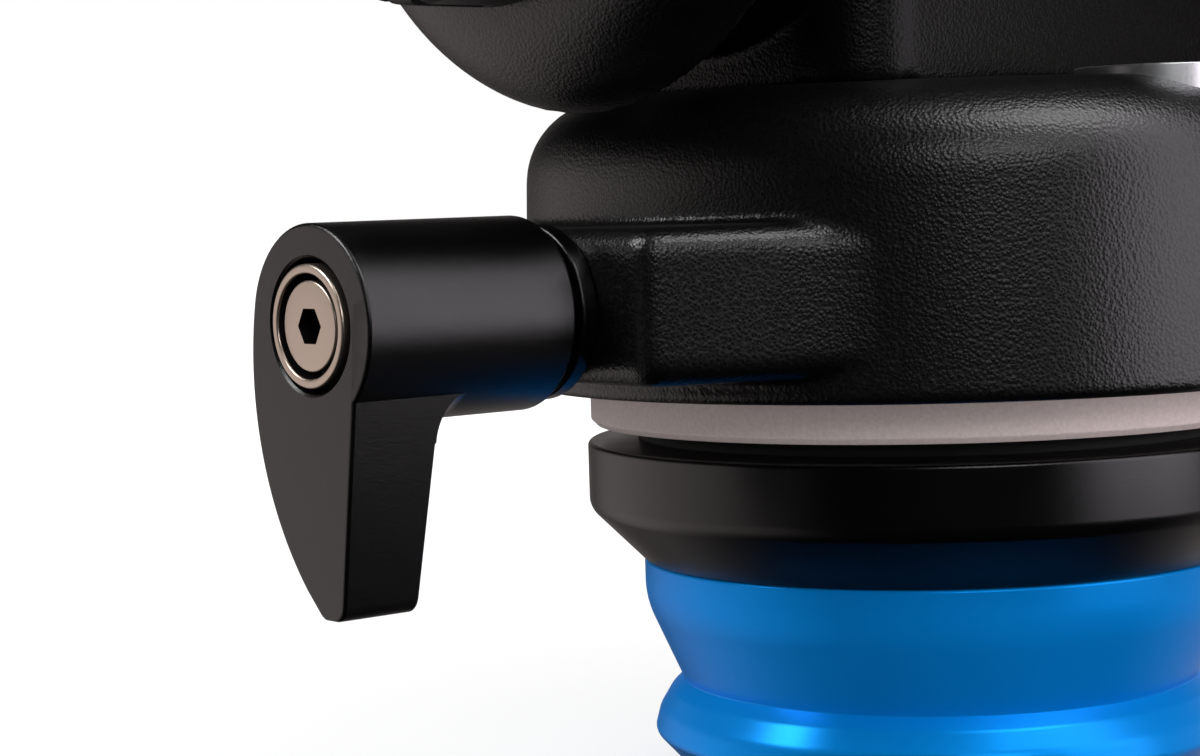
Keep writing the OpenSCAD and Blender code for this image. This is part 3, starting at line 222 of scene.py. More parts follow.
def azure_anodise():
    """Clear azure dye over turned aluminium, with faint lathe lines under it."""
    material, tree, shader, place = finish("azure_anodise", (0.0, 0.23, 0.70), 0.4, 0.3)
    rings = around_axis(tree, place)
    cloud = noise(tree, place, 60, 3)
    tree.links.new(shades(tree, cloud, (0.0, 0.22, 0.68), (0.001, 0.24, 0.72)), shader.inputs["Base Color"])
    tree.links.new(ramp(tree, noise(tree, rings, 4000, 3), 0.26, 0.34), shader.inputs["Roughness"])
    bumped(tree, shader, noise(tree, rings, 9000, 2), 0.06, 0.00003)
    shader.inputs["Specular Tint"].default_value = (0.1, 0.45, 1.0, 1)
    return material


def span(node):
    """A solid's lowest and highest corner, in millimetres."""
    low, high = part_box(node)
    return Vector(low) / MM, Vector(high) / MM


def four_around(r):
    """Four points on a circle about the pan axis, midway between X and Y."""
    return [(r * math.cos(a), r * math.sin(a)) for a in (math.radians(45 + 90 * k) for k in range(4))]


press, screw_play, head_room = 0.02, 0.05, 0.2
past = 1
foot_top = span("base_foot")[1]
insert_top = span("thread_insert")[1]
foot_h, foot_top_r = foot_top.z, foot_top.x
insert_r = insert_top.x + press
thread_bore = [(0, insert_top.z, 0), (insert_r, insert_top.z, 0), (insert_r, 0, 0)]
bead = [(24.6, 0, 0.3), (29.4, 5.2, 0.9), (28.84, 7.3, 3), (27.62, 9.3, 2), (26.4, 10.5, 0), (26.4, 10.7, 0)]
cone_z1, cone_round = 18.8, 9
cone = [(foot_top_r, cone_z1, cone_round), (foot_top_r, foot_h, 0.3), (0, foot_h, 0)]
foot = piece("base_foot_turned", turned(rounded(thread_bore + bead + cone)))
base_head_r, base_head_h = 3.5, 4
base_shank_r = 2
base_screw_ring_r = 17
corner_screws = four_around(base_screw_ring_r)
head_hole_r = base_head_r + head_room
shank_hole_r = base_shank_r + screw_play
seat_z = span("base_screws")[0].z + base_head_h
for x, y in corner_screws:
    hole = turned([(0, -past), (head_hole_r, -past), (head_hole_r, seat_z), (shank_hole_r, seat_z),
                   (shank_hole_r, foot_h + past), (0, foot_h + past)], 60)
    cut(foot, piece("screw_hole", hole, Matrix.Translation((x * MM, y * MM, 0))))
fitted(coated(foot, azure_anodise()), "base", "blue_anodised", "base_foot")

# Thread insert and base screws: a plain steel bush pressed into the foot for the tripod's screw, and four
# socket screws that pull the foot and the plate up against the spindle. They are machined and left bright.


def machined_steel(name="machined_steel", colour=(0.56, 0.56, 0.57), roughness=0.3):
    """Bright machined steel with a fine, patchy grain."""
    material, tree, shader, place = finish(name, colour, 1.0, roughness)
    grain = noise(tree, place, 3000, 4)
    tree.links.new(ramp(tree, grain, roughness - 0.08, roughness + 0.1), shader.inputs["Roughness"])
    bumped(tree, shader, grain, 0.1, 0.00004)
    return material


def dressed(material, *nodes):
    """The solids as they are, in a material."""
    for node in nodes:
        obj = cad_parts[node]
        if not obj.material_slots:
            obj.data.materials.append(material)
        for slot in obj.material_slots:
            slot.material = material


def shape(node):
    """A solid's shape as one merged mesh, in millimetres."""
    bm = bmesh.new()
    bm.from_mesh(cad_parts[node].data)
    bmesh.ops.scale(bm, vec=Vector((1, 1, 1)) / MM, verts=bm.verts)
    bmesh.ops.remove_doubles(bm, verts=bm.verts, dist=0.001)
    return bm


def fillet(bm, radius, segments, chosen):
    """The chosen edges rounded over."""
    bmesh.ops.bevel(bm, geom=[e for e in bm.edges if chosen(e)], offset=radius, offset_type="OFFSET",
                    segments=segments, profile=0.5, affect="EDGES", clamp_overlap=True, material=-1)
    return bm


def eased(node, width, segments=2):
    """A copy of a solid with its edges broken by a small bevel."""
    bm = shape(node)
    bmesh.ops.dissolve_limit(bm, angle_limit=math.radians(0.5), verts=bm.verts, edges=bm.edges)
    fillet(bm, width, segments, lambda e: e.calc_face_angle(0) > math.radians(30))
    return piece(node + "_eased", bm)


steel = machined_steel()
dressed(steel, "thread_insert")
fitted(coated(eased("base_screws", 0.2), steel), "base", "bright_steel", "base_screws")

# Base plate: the black disc between the foot and the pan bearing, turned with a steep bevel underneath.
# It is bead-blasted and anodised black, and its top has a recess for the spindle and a groove for the seal.


def satin_black(name, colour=(0.0009, 0.0008, 0.0009), roughness=0.2, relief=0.00003):
    """Black anodising on blasted aluminium: a dark satin with a very fine grain."""
    material, tree, shader, place = finish(name, colour, 0.0, roughness)
    grain = noise(tree, place, 7500, 3, 0.6)
    tree.links.new(ramp(tree, noise(tree, place, 250, 3), roughness - 0.04, roughness + 0.05),
                   shader.inputs["Roughness"])
    bumped(tree, shader, grain, 1.0, relief)
    return material


def drill(r, z0, z1, x=0, y=0, place=Matrix(), segments=64):
    """A round cutter between two heights, in millimetres."""
    bm = bmesh.new()
    at = Matrix.Translation((x, y, (z0 + z1) / 2))
    bmesh.ops.create_cone(bm, cap_ends=True, segments=segments, radius1=r, radius2=r, depth=z1 - z0,
                          matrix=at)
    return piece("drill", bm, place)


plate_low, plate_high = span("base_plate")
flange_low, flange_high = span("pan_spindle")
seal_low, seal_high = span("pan_seal")
seal_w = 2.2
seal_r0, seal_r1 = seal_high.x - seal_w, seal_high.x
flange_r = flange_high.x
plate_r = plate_high.x
plate_z0, plate_z1 = plate_low.z, plate_high.z
plate_foot_r = 29.9
plate_bevel_h, plate_round = 5.6, 2.2
rim = rounded([(0, plate_z0, 0), (plate_foot_r, plate_z0, 0.3),
               (plate_r, plate_z0 + plate_bevel_h, plate_round), (plate_r, plate_z1, 0.5)])
recesses = [(seal_r1, plate_z1), (seal_r1, seal_low.z), (seal_r0, seal_low.z), (seal_r0, plate_z1),
            (flange_r, plate_z1), (flange_r, flange_low.z), (0, flange_low.z)]
plate = piece("base_plate_turned", turned(rim + recesses))
cut(plate, *[drill(shank_hole_r, plate_z0 - past, plate_z1 + past, x, y) for x, y in corner_screws])
plate_black = satin_black("plate_black", relief=0.00002)
fitted(coated(plate, plate_black), "base", "black_anodised", "base_plate")

# Pan spindle and drag cup: the steel post that the head turns on, with its nut, its washer and the cup
# that shears the damping fluid. A rubber ring in the plate's groove keeps dust out of the bearing.


def soft_rubber(name="soft_rubber", colour=(0.012, 0.012, 0.012)):
    """Moulded black rubber with a dull, slightly blotchy skin."""
    material, tree, shader, place = finish(name, colour, 0.0, 0.7)
    skin = noise(tree, place, 1400, 4)
    tree.links.new(ramp(tree, skin, 0.62, 0.8), shader.inputs["Roughness"])
    bumped(tree, shader, skin, 0.2, 0.00006)
    shader.inputs["Specular IOR Level"].default_value = 0.35
    return material


aluminium = machined_steel("machined_aluminium", (0.70, 0.71, 0.73), 0.34)
rubber = soft_rubber()
dressed(steel, "pan_spindle", "bearing_inner", "preload_washer", "spindle_nut")
dressed(aluminium, "drag_cup")
dressed(rubber, "pan_seal")

# Bearing ring: the grey stainless ring under the housing, which holds the pan bearing's outer race.
# It is turned and then bead-blasted, with a small bevel around its lower edge, and screwed up from below.


def blasted_steel(name="blasted_steel", colour=(0.58, 0.49, 0.47)):
    """Warm grey stainless steel, dulled by glass beads to an even, nearly matt sparkle."""
    material, tree, shader, place = finish(name, colour, 0.15, 0.6)
    pits = noise(tree, place, 5200, 3, 0.6)
    dark = [c * 0.9 for c in colour]
    light = [min(1, c * 1.1) for c in colour]
    tree.links.new(shades(tree, noise(tree, place, 2600, 4, 0.7), dark, light), shader.inputs["Base Color"])
    tree.links.new(ramp(tree, pits, 0.52, 0.68), shader.inputs["Roughness"])
    bumped(tree, shader, pits, 0.3, 0.00005)
    return material


ring_low, ring_high = span("bearing_ring")
race_low, race_high = span("bearing_outer")
clip_low, clip_high = span("bearing_circlip")
house_low, house_high = span("pan_housing")
ring_r = ring_high.x
ring_z0, spigot_z1 = ring_low.z, ring_high.z
house_z0, house_z1 = house_low.z, house_high.z
race_r = race_high.x
spigot_r = 30
lip_r = race_r - 1
ring_bevel = 0.6
ring = piece("bearing_ring_turned", turned(
    rounded([(race_r, ring_z0, 0), (ring_r - ring_bevel, ring_z0, 0.15), (ring_r, ring_z0 + ring_bevel, 0.3),
             (ring_r, house_z0, 0.15), (spigot_r, house_z0, 0)])
    + [(spigot_r, spigot_z1), (lip_r, spigot_z1), (lip_r, race_high.z), (race_r, race_high.z),
       (race_r, race_low.z), (clip_high.x, race_low.z), (clip_high.x, clip_low.z), (race_r, clip_low.z)],
    closed=True))
ring_shank_r = 1.25
ring_head_r, ring_head_h = 2.1, 2
ring_screws = four_around(32.1)
ring_seat_z = ring_z0 + ring_head_h
cut(ring, *[drill(ring_head_r + head_room, ring_z0 - past, ring_seat_z, x, y) for x, y in ring_screws],
    *[drill(ring_shank_r + screw_play, ring_seat_z - past, house_z0 + past, x, y) for x, y in ring_screws])
fitted(coated(ring, blasted_steel()), "pan", "warm_steel", "bearing_ring")
dressed(steel, "ring_screws", "bearing_outer", "bearing_balls", "bearing_circlip")

# Pan housing: the round casting that turns on the ring, with a lug at its left for the pan lock.
# It is painted in a fine sand texture, and its inside is bored for the drag cup, the rotor and the nut.


def sand_paint(name="sand_paint", gloss=0.5, colour=(0.0009, 0.0008, 0.0008)):
    """Black paint with a fine sand texture, a little shinier on the tops of the grains."""
    material, tree, shader, place = finish(name, colour, 0.0, 0.4)
    grains = tree.nodes.new("ShaderNodeTexVoronoi")
    grains.inputs["Scale"].default_value = 2900
    tree.links.new(place, grains.inputs["Vector"])
    tree.links.new(ramp(tree, grains.outputs["Distance"], 0.24, 0.4), shader.inputs["Roughness"])
    relief = bumped(tree, shader, grains.outputs["Distance"], 0.5, 0.00008)
    relief.invert = True
    shader.inputs["Specular IOR Level"].default_value = gloss
    return material


def slab(outline, z0, z1):
    """A flat shape with this outline between two heights."""
    bm = bmesh.new()
    base = bm.faces.new([bm.verts.new((x, y, z0)) for x, y in outline])
    raised = bmesh.ops.extrude_face_region(bm, geom=[base])["geom"]
    bmesh.ops.translate(bm, vec=(0, 0, z1 - z0),
                        verts=[v for v in raised if isinstance(v, bmesh.types.BMVert)])
    bmesh.ops.recalc_face_normals(bm, faces=bm.faces)
    return bm


def cushion(outline, z0, z1, r, steps=6):
    """A flat shape with this outline between two heights, and its upper and lower edges rounded over."""
    bm = bmesh.new()
    inward = []
    for i in range(len(outline)):
        along = (outline[(i + 1) % len(outline)] - outline[i - 1]).normalized()
        inward.append(Vector((-along.y, along.x)))
    angles = [math.radians(90 * k / steps) for k in range(steps + 1)]
    levels = ([(r * (1 - math.sin(a)), z0 + r * (1 - math.cos(a))) for a in angles]
              + [(r * (1 - math.cos(a)), z1 - r * (1 - math.sin(a))) for a in angles])
    rings = [[bm.verts.new((*(point + inner * inset), z)) for point, inner in zip(outline, inward)]
             for inset, z in levels]
    for low, high in zip(rings, rings[1:]):
        for i in range(len(outline)):
            bm.faces.new((low[i - 1], low[i], high[i], high[i - 1]))
    bm.faces.new(list(reversed(rings[0])))
    bm.faces.new(rings[-1])
    bmesh.ops.recalc_face_normals(bm, faces=bm.faces)
    return bm


def cast(name, shells, voxel, passes, place=Matrix()):
    """One casting from shapes that overlap, with its corners and edges softened as sand leaves them."""
    whole = bmesh.new()
    for shell in shells:
        mesh = bpy.data.meshes.new("shell")
        shell.to_mesh(mesh)
        shell.free()
        whole.from_mesh(mesh)
        bpy.data.meshes.remove(mesh)
    obj = piece(name, whole, place)
    fused = obj.modifiers.new("fused", "REMESH")
    fused.mode = "VOXEL"
    fused.voxel_size = voxel * MM
    softened = obj.modifiers.new("softened", "SMOOTH")
    softened.factor = 0.5
    softened.iterations = passes
    applied(obj)
    return obj


house_r = house_high.x
house_draft = 0.8
house_edge_r, house_foot_round = 8.4, 0.8
body = turned(rounded([(0, house_z0, 0), (house_r, house_z0, house_foot_round),
                       (house_r - house_draft, house_z1, house_edge_r), (0, house_z1, 0)], 10))
lug_x = -house_low.x
lug_half_w = 14
lug_along = Vector((0.904, -0.428))
lug_z0, lug_z1 = house_z0 + 2.3, house_z0 + 16.4
lug_edge_r, lug_corner_r = 2.3, 2.8
lug_blend_r, blend_steps = 24, 8
blend_sink = 0.05
root_share = 0.75
lug_mid_z = (lug_z0 + lug_z1) / 2
wall_slope = house_draft / (house_z1 - house_z0)
wall_r = house_r - wall_slope * (lug_mid_z - house_z0) - blend_sink
outward = Vector((lug_along.y, -lug_along.x))
lug_corner = Vector((-lug_x, -lug_half_w))
start = lug_corner + outward * lug_blend_r
reach = start.dot(lug_along)
run = -reach - math.sqrt(reach ** 2 - start.length_squared + (wall_r + lug_blend_r) ** 2)
blend_at = start + lug_along * run
blend_turn = (-outward).angle_signed(-blend_at)
blend = [blend_at + Matrix.Rotation(-blend_turn * k / blend_steps, 2) @ (-outward * lug_blend_r)
         for k in range(blend_steps + 1)]
lug_side = [(*lug_corner, lug_corner_r)] + [(*point, 0) for point in blend + [blend[-1] * root_share]]
lug_plan = rounded([(x, -y, r) for x, y, r in reversed(lug_side)] + lug_side, 8)
lug = cushion(lug_plan, lug_z0, lug_z1, lug_edge_r)
for v in lug.verts:
    share = min((v.co.x + lug_x) / (lug_x + blend[-1].x), 1)
    v.co.xy *= 1 + share * wall_slope * (lug_mid_z - v.co.z) / wall_r
housing = cast("pan_housing_cast", [body, lug], 0.42, 4)
rotor_top = span("drag_rotor")[1]
bush_step_z = span("spindle_bush")[1].z - 1
spigot_hole_r, spigot_hole_z1 = spigot_r + press, spigot_z1 + 0.2
rotor_hole_r = rotor_top.x + press
bush_hole_r = 12 + press
nut_hole_r = 16
shaft_bore = turned([(0, house_z0 - past), (spigot_hole_r, house_z0 - past), (spigot_hole_r, spigot_hole_z1),
                     (rotor_hole_r, spigot_hole_z1), (rotor_hole_r, rotor_top.z), (bush_hole_r, rotor_top.z),
                     (bush_hole_r, bush_step_z), (nut_hole_r, bush_step_z), (nut_hole_r, house_z1 + past),
                     (0, house_z1 + past)])
level_low, level_high = span("level_cup")
level_y = (level_low.y + level_high.y) / 2
level_r = level_high.x
cut(housing, piece("bore", shaft_bore), drill(level_r + press, level_low.z, house_z1 + 2 * past, 0, level_y))
sand_black = sand_paint()
fitted(coated(housing, sand_black), "pan", "black_casting", "pan_housing")
bronze = machined_steel("plain_bronze", (0.52, 0.33, 0.14), 0.36)
dressed(aluminium, "drag_rotor")
dressed(bronze, "spindle_bush")

# Bubble level: a small machined aluminium cup let into the housing's top behind the pedestal, with a round
# acrylic vial pressed into it. A pale bubble stands in the yellow-green liquid, inside a black circle.


def liquid():
    """Clear acrylic over yellow-green liquid, with a bubble and the circle around it."""
    bubble, green, black = (0.74, 0.88, 0.36), (0.50, 0.74, 0.06), (0.01, 0.01, 0.01)
    material, tree, shader, place = finish("level_liquid", green, 0.0, 0.08)
    cloud = noise(tree, place, 300, 2)
    tree.links.new(ramp(tree, cloud, 0.06, 0.1), shader.inputs["Roughness"])
    split = tree.nodes.new("ShaderNodeSeparateXYZ")
    tree.links.new(around_axis(tree, place, (0, level_y * MM, 0)), split.inputs["Vector"])
    circle = tree.nodes.new("ShaderNodeValToRGB")
    circle.color_ramp.interpolation = "CONSTANT"
    circle.color_ramp.elements[1].position = 0.28
    for position in (0.43, 0.48):
        circle.color_ramp.elements.new(position)
    for element, colour in zip(circle.color_ramp.elements, (bubble, green, black, green)):
        element.color = (*colour, 1)
    tree.links.new(ramp(tree, split.outputs["X"], 0, 1, 0, level_r * MM), circle.inputs["Fac"])
    tree.links.new(circle.outputs["Color"], shader.inputs["Base Color"])
    shader.inputs["IOR"].default_value = 1.45
    return material


fitted(coated(eased("level_cup", 0.15), aluminium), "pan", "drag_aluminium", "level_cup")
fitted(coated(eased("level_vial", 0.3, 3), liquid()), "pan", "vial", "level_vial")

# Lock levers: one for the pan and one for the tilt, alike. Each is a hub that lifts on a spline against a
# spring, with a short arm; a steel cup and a socket screw hold it. The lever is blasted and anodised black.


def lock_place(x, z, side):
    """The frame of a lock: local Z points away from the head, and local X points down."""
    return Matrix(((0, 0, side, x * MM), (0, 1, 0, 0), (-1, 0, 0, z * MM), (0, 0, 0, 1)))


def warm_steel():
    """Warm, finely turned stainless steel."""
    material, tree, shader, place = finish("warm_steel", (0.56, 0.46, 0.39), 1.0, 0.32)
    grain = noise(tree, place, 4200, 3, 0.6)
    tree.links.new(ramp(tree, grain, 0.26, 0.4), shader.inputs["Roughness"])
    bumped(tree, shader, grain, 0.12, 0.00003)
    return material


def inside(obj, place, r, z, r_from=0, z_from=-100):
    """Gives the second finish to the faces between two radii about an axis and between two heights."""
    back = (place @ Matrix.Scale(MM, 4)).inverted()
    for face in obj.data.polygons:
        at = back @ face.center
        if r_from <= math.hypot(at.x, at.y) < r and z_from < at.z < z:
            face.material_index = 1


hub_r = 8.75
hub_z0, hub_z1 = 3.0, 25.3
arm_reach = 25.1
arm_edge_root = 6.1
arm_edge_tip = 3.4
arm_root_t, arm_tip_t = 9.1, 7.7
arm_back_r = 27.7
arm_back = (4.2, -18.48)
arm_fillet_r = 3
arm_root_x = -1.94
back_step, back_points = 0.75, 34
tip_back_round, tip_front_round = 1.3, 1.5
cup_bore_r, cup_bore_chamfer = 5.86, 0.25
spline_bore_r = 5.5
neck_r = 4.0
neck_z0, neck_z1 = 11.3, 15.3
cup_r, cup_inner_r, cup_hole_r = 5.31, 4.51, 2.6
cup_z0, cup_floor_z, cup_z1 = 21.9, 22.9, 25.6
cap_r, cap_z1 = 3.9, 25.3
shank_r, shank_z0 = 2.5, 13.9
hexagon_r = 3 / math.sqrt(3)
hexagon_depth = 1.8
lever_black = satin_black("lever_black")
cup_steel = warm_steel()
# A dark steel for the insides of bores, cups and sockets: painted shade in these hollows.
painted_shade_steel = machined_steel("painted_shade_bore", (0.035, 0.031, 0.03), 0.45)


def lever(name, place):
    """A lock lever: hub and arm in one piece, bored for its cup, its neck and its spline."""
    hub = turned(rounded([(0, hub_z0, 0), (hub_r, hub_z0, 0.5), (hub_r, hub_z1, 0.35), (0, hub_z1, 0)]), 192)
    back = [(x, arm_back[1] + math.sqrt(arm_back_r ** 2 - (x - arm_back[0]) ** 2))
            for x in (arm_root_x + back_step * k for k in range(back_points))]
    tip_y = arm_back[1] + math.sqrt(arm_back_r ** 2 - (arm_reach - arm_back[0]) ** 2)
    tip = rounded([(*back[-1], 0), (arm_reach, tip_y, tip_back_round),
                   (arm_reach, -arm_edge_tip, tip_front_round), (arm_edge_root, -arm_edge_root, 0),
                   (arm_root_x, -arm_edge_root - 0.8, 0)], 6)
    outline = back[:-1] + [tuple(p) for p in tip]
    rise = (arm_root_t - arm_tip_t) / (arm_reach - hub_r)
    arm = slab(outline, hub_z1 - arm_root_t, hub_z1)
    for v in arm.verts:
        if v.co.z < hub_z1 - 1:
            v.co.z += rise * max(0, v.co.x - hub_r)
    for rounding, front in ((0.35, True), (0.15, False)):
        fillet(arm, rounding, 3, lambda e: e.calc_face_angle(0) > math.radians(60)
               and max(v.co.x for v in e.verts) > arm_root_x + 0.04
               and abs(e.verts[0].co.z - e.verts[1].co.z) < 2
               and (e.verts[0].co.z > hub_z1 - 1) == front)
    root_z = hub_z1 - arm_root_t + rise * arm_fillet_r
    sweep = [(hub_r + arm_fillet_r * (1 - math.cos(a)), root_z - arm_fillet_r * (1 - math.sin(a)))
             for a in (math.radians(7.5 * k) for k in range(13))]
    root = piece("root", turned([(hub_r - 2, root_z + 0.5), (hub_r - 2, root_z - arm_fillet_r)] + sweep
                                + [(hub_r + arm_fillet_r, root_z + 0.5)], 192, closed=True), place)
    cut(root, piece("arm_plan", slab(outline, 0, hub_z1 - 1), place), how="INTERSECT")
    obj = piece(name, hub, place)
    cut(obj, piece("arm", arm, place), root, how="UNION")
    mouth_r = cup_bore_r + cup_bore_chamfer
    bore = turned([(0, hub_z0 - past), (spline_bore_r, hub_z0 - past), (spline_bore_r, neck_z0),
                   (neck_r, neck_z0), (neck_r, neck_z1), (cup_bore_r, neck_z1), (cup_bore_r, hub_z1 - 0.2),
                   (mouth_r, hub_z1 + 0.05), (mouth_r, hub_z1 + past), (0, hub_z1 + past)], 128)
    cut(obj, piece("bore", bore, place))
    coated(obj, lever_black, painted_shade_steel)
    # Painted shade: the lever's bore takes the dark steel.
    inside(obj, place, cup_bore_r + 0.05, hub_z1 - 0.3)
    return obj


def lever_cup(name, place):
    """The steel cup that the lever lifts along, bright at its rim, with painted shade inside."""
    outline = rounded([(cup_hole_r, cup_z0, 0), (cup_r, cup_z0, 0.1), (cup_r, cup_z1, 0.25),
                       (cup_inner_r, cup_z1, 0.2), (cup_inner_r, cup_floor_z, 0.1),
                       (cup_hole_r, cup_floor_z, 0)], 4)
    obj = coated(piece(name, turned(outline, 128, closed=True), place), cup_steel, painted_shade_steel)
    # Painted shade: the cup's inner wall and floor take the dark steel.
    inside(obj, place, cup_inner_r + 0.02, cup_z1 - 0.25)
    return obj


def lever_screw(name, place):
    """The cap screw in the cup, with a hexagon socket."""
    outline = rounded([(0, shank_z0, 0), (shank_r, shank_z0, 0.3), (shank_r, cup_floor_z, 0),
                       (cap_r, cup_floor_z, 0.1), (cap_r, cap_z1, 0.18), (0, cap_z1, 0)], 4)
    obj = piece(name, turned(outline, 128), place)
    cut(obj, drill(hexagon_r, cap_z1 - hexagon_depth, cap_z1 + past, place=place, segments=6))
    coated(obj, cup_steel, painted_shade_steel)
    # Painted shade: the hexagon socket takes the dark steel.
    inside(obj, place, hexagon_r + 0.01, cap_z1 - 0.1)
    return obj


def washer(node):
    """The black acetal washer between a lever and what it turns on."""
    return coated(eased(node, 0.3, 3), lever_black)


pan_lock_x, pan_lock_z = -51, 50.1
pan_place = lock_place(pan_lock_x, pan_lock_z, -1)
pan_lever = lever("pan_lock_lever_cast", pan_place)
fitted(pan_lever, "pan_lever", "black_anodised", "pan_lock_lever")
pan_cup = lever_cup("pan_lever_cup_turned", pan_place)
fitted(pan_cup, "pan_lock", "warm_steel", "pan_lever_cup")
pan_screw = lever_screw("pan_lever_screw_turned", pan_place)
fitted(pan_screw, "pan_lock", "warm_steel", "pan_lever_screw")
fitted(washer("pan_thrust_washer"), "pan", "black_plastic", "pan_thrust_washer")
dressed(steel, "pan_lock_screw", "pan_lever_spring")
dressed(bronze, "pan_brake_shoe")

# Pedestal: the casting on the housing that carries the tilt shaft, with bronze bushes in its barrel, a drag
# at its left, and a brake disc and the balance spring at its right. It has the housing's sand paint,
# with less shine as painted shade.
pedestal = cast("pedestal_cast", [shape("pedestal")], 0.5, 5)
# Painted shade: the pedestal's sand paint has less shine than the housing's, to keep it dark under the
# cradle.
fitted(coated(pedestal, sand_paint("shaded_sand_paint", 0.15)), "pan", "black_casting", "pedestal")
dressed(steel, "pedestal_screws", "brake_disc", "balance_spring")
dressed(bronze, "tilt_bushes")
dressed(aluminium, "tilt_drag_stator")

# Cradle: two round cheeks and the platform that joins them, which tilt together on the shaft. The cheeks are
# castings with well rounded edges and the platform is milled. Screws hold them, and all have the sand paint.
for name in ("left_cheek", "right_cheek"):
    cheek = cast(name + "_cast", [shape(name)], 0.45, 9)
    fitted(coated(cheek, sand_black), "tilt", "black_casting", name)
fitted(coated(eased("platform", 0.5, 3), sand_black), "tilt", "black_casting", "platform")
fitted(coated(eased("rosettes", 0.08, 1), steel), "tilt", "bright_steel", "rosettes")
fitted(washer("tilt_thrust_washer"), "tilt", "black_plastic", "tilt_thrust_washer")
dressed(steel, "cheek_screws", "tilt_shaft")
dressed(aluminium, "tilt_drag_rotor")

# Tilt lock: the same black lever, steel cup and screw as the pan lock has, on the right cheek.
# Its steel screw presses a bronze shoe against the brake disc.
tilt_lock_x, tilt_lock_z = 56, 76
tilt_place = lock_place(tilt_lock_x, tilt_lock_z, 1)


def twin(name, obj):
    """The same piece as one of the pan lock's, in the tilt lock's place."""
    bm = bmesh.new()
    bm.from_mesh(obj.data)
    bmesh.ops.transform(bm, matrix=Matrix.Scale(1 / MM, 4) @ pan_place.inverted(), verts=bm.verts)
    return coated(piece(name, bm, tilt_place), *obj.data.materials)


fitted(twin("tilt_lock_lever_cast", pan_lever), "tilt_lever", "black_anodised", "tilt_lock_lever")
fitted(twin("tilt_lever_cup_turned", pan_cup), "tilt_lock", "warm_steel", "tilt_lever_cup")
fitted(twin("tilt_lever_screw_turned", pan_screw), "tilt_lock", "warm_steel", "tilt_lever_screw")
dressed(steel, "tilt_lock_screw", "tilt_lever_spring")
dressed(bronze, "tilt_brake_shoe")

# Dials: the large one at the left sets the tilt drag, and the one at the right sets the counterbalance.
# They are moulded in black plastic, with finger grooves around the rim and engraved marks filled with white.


def moulded_black():
    """Matt black plastic with a fine spark-eroded texture."""
    material, tree, shader, place = finish("moulded_black", (0.012, 0.012, 0.0125), 0.0, 0.46)
    grain = noise(tree, place, 3800, 3, 0.6)
    tree.links.new(ramp(tree, grain, 0.4, 0.54), shader.inputs["Roughness"])
    bumped(tree, shader, grain, 0.2, 0.00006)
    return material


def mark_white():
    """White enamel in the engraved marks."""
    material, tree, shader, place = finish("mark_white", (0.72, 0.72, 0.70), 0.0, 0.5)
    tree.links.new(ramp(tree, noise(tree, place, 2000, 3), 0.42, 0.6), shader.inputs["Roughness"])
    return material


plastic = moulded_black()
enamel = mark_white()
dial_low, dial_high = span("tilt_drag_dial")
balance_high = span("balance_dial")[1]
tilt_z = (dial_low.z + dial_high.z) / 2
mark_depth, mark_w, mark_turn = 0.3, 0.7, 27
mark_out, mark_in = 0.9, 0.62
mark_short, mark_long = 0.2, 0.26
for name, body, face_x, side_x, dial_r in (
        ("tilt_drag_dial", "drag_dial", dial_low.x, -1, dial_high.y),
        ("balance_dial", "counterbalance_dial", balance_high.x, 1, balance_high.y)):
    dial = eased(name, 0.3, 3)
    dial_place = lock_place(face_x, tilt_z, side_x)
    marks = bmesh.new()
    for k in range(-5, 6):
        length = dial_r * (mark_short if k % 5 else mark_long)
        at = (Matrix.Rotation(math.radians(180 + mark_turn * k), 4, "Z")
              @ Matrix.Translation((dial_r * mark_out - length / 2, 0, 0)))
        bmesh.ops.create_cube(marks, size=1, matrix=at @ Matrix.Diagonal((length, mark_w, 2 * mark_depth, 1)))
    cut(dial, piece("marks", marks, dial_place))
    coated(dial, plastic, enamel)
    inside(dial, dial_place, dial_r * mark_out, -0.05, dial_r * mark_in, -mark_depth - 0.05)
    fitted(dial, body, "black_plastic", name)

# Camera plate: an extruded aluminium plate that slides in the platform's dovetail, anodised black, with two
# rubber pads let into its top and a captive quarter-inch screw in its slot.
fitted(coated(eased("camera_plate", 0.4, 3), plate_black), "plate", "black_anodised", "camera_plate")
fitted(coated(eased("plate_pads", 0.4, 3), rubber), "plate", "black_rubber", "plate_pads")
fitted(coated(eased("camera_screw", 0.2), steel), "plate_screw", "bright_steel", "camera_screw")

# Plate clamp and safety button: a blackened steel knob at the left drives an aluminium jaw against the
# plate's dovetail, and a red button at the right lets the plate slide out.


def red_plastic():
    """Glossy red moulded plastic."""
    material, tree, shader, place = finish("red_plastic", (0.50, 0.018, 0.014), 0.0, 0.24)
    tree.links.new(ramp(tree, noise(tree, place, 900, 3), 0.2, 0.3), shader.inputs["Roughness"])
    return material


clamp_knob = cast("clamp_knob_cast", [shape("clamp_knob")], 0.25, 4)
fitted(coated(clamp_knob, lever_black), "plate_knob", "black_steel", "clamp_knob")
fitted(coated(eased("clamp_jaw", 0.2), aluminium), "plate_jaw", "drag_aluminium", "clamp_jaw")
fitted(coated(eased("safety_button", 0.3, 3), red_plastic()), "safety_catch", "red_plastic", "safety_button")

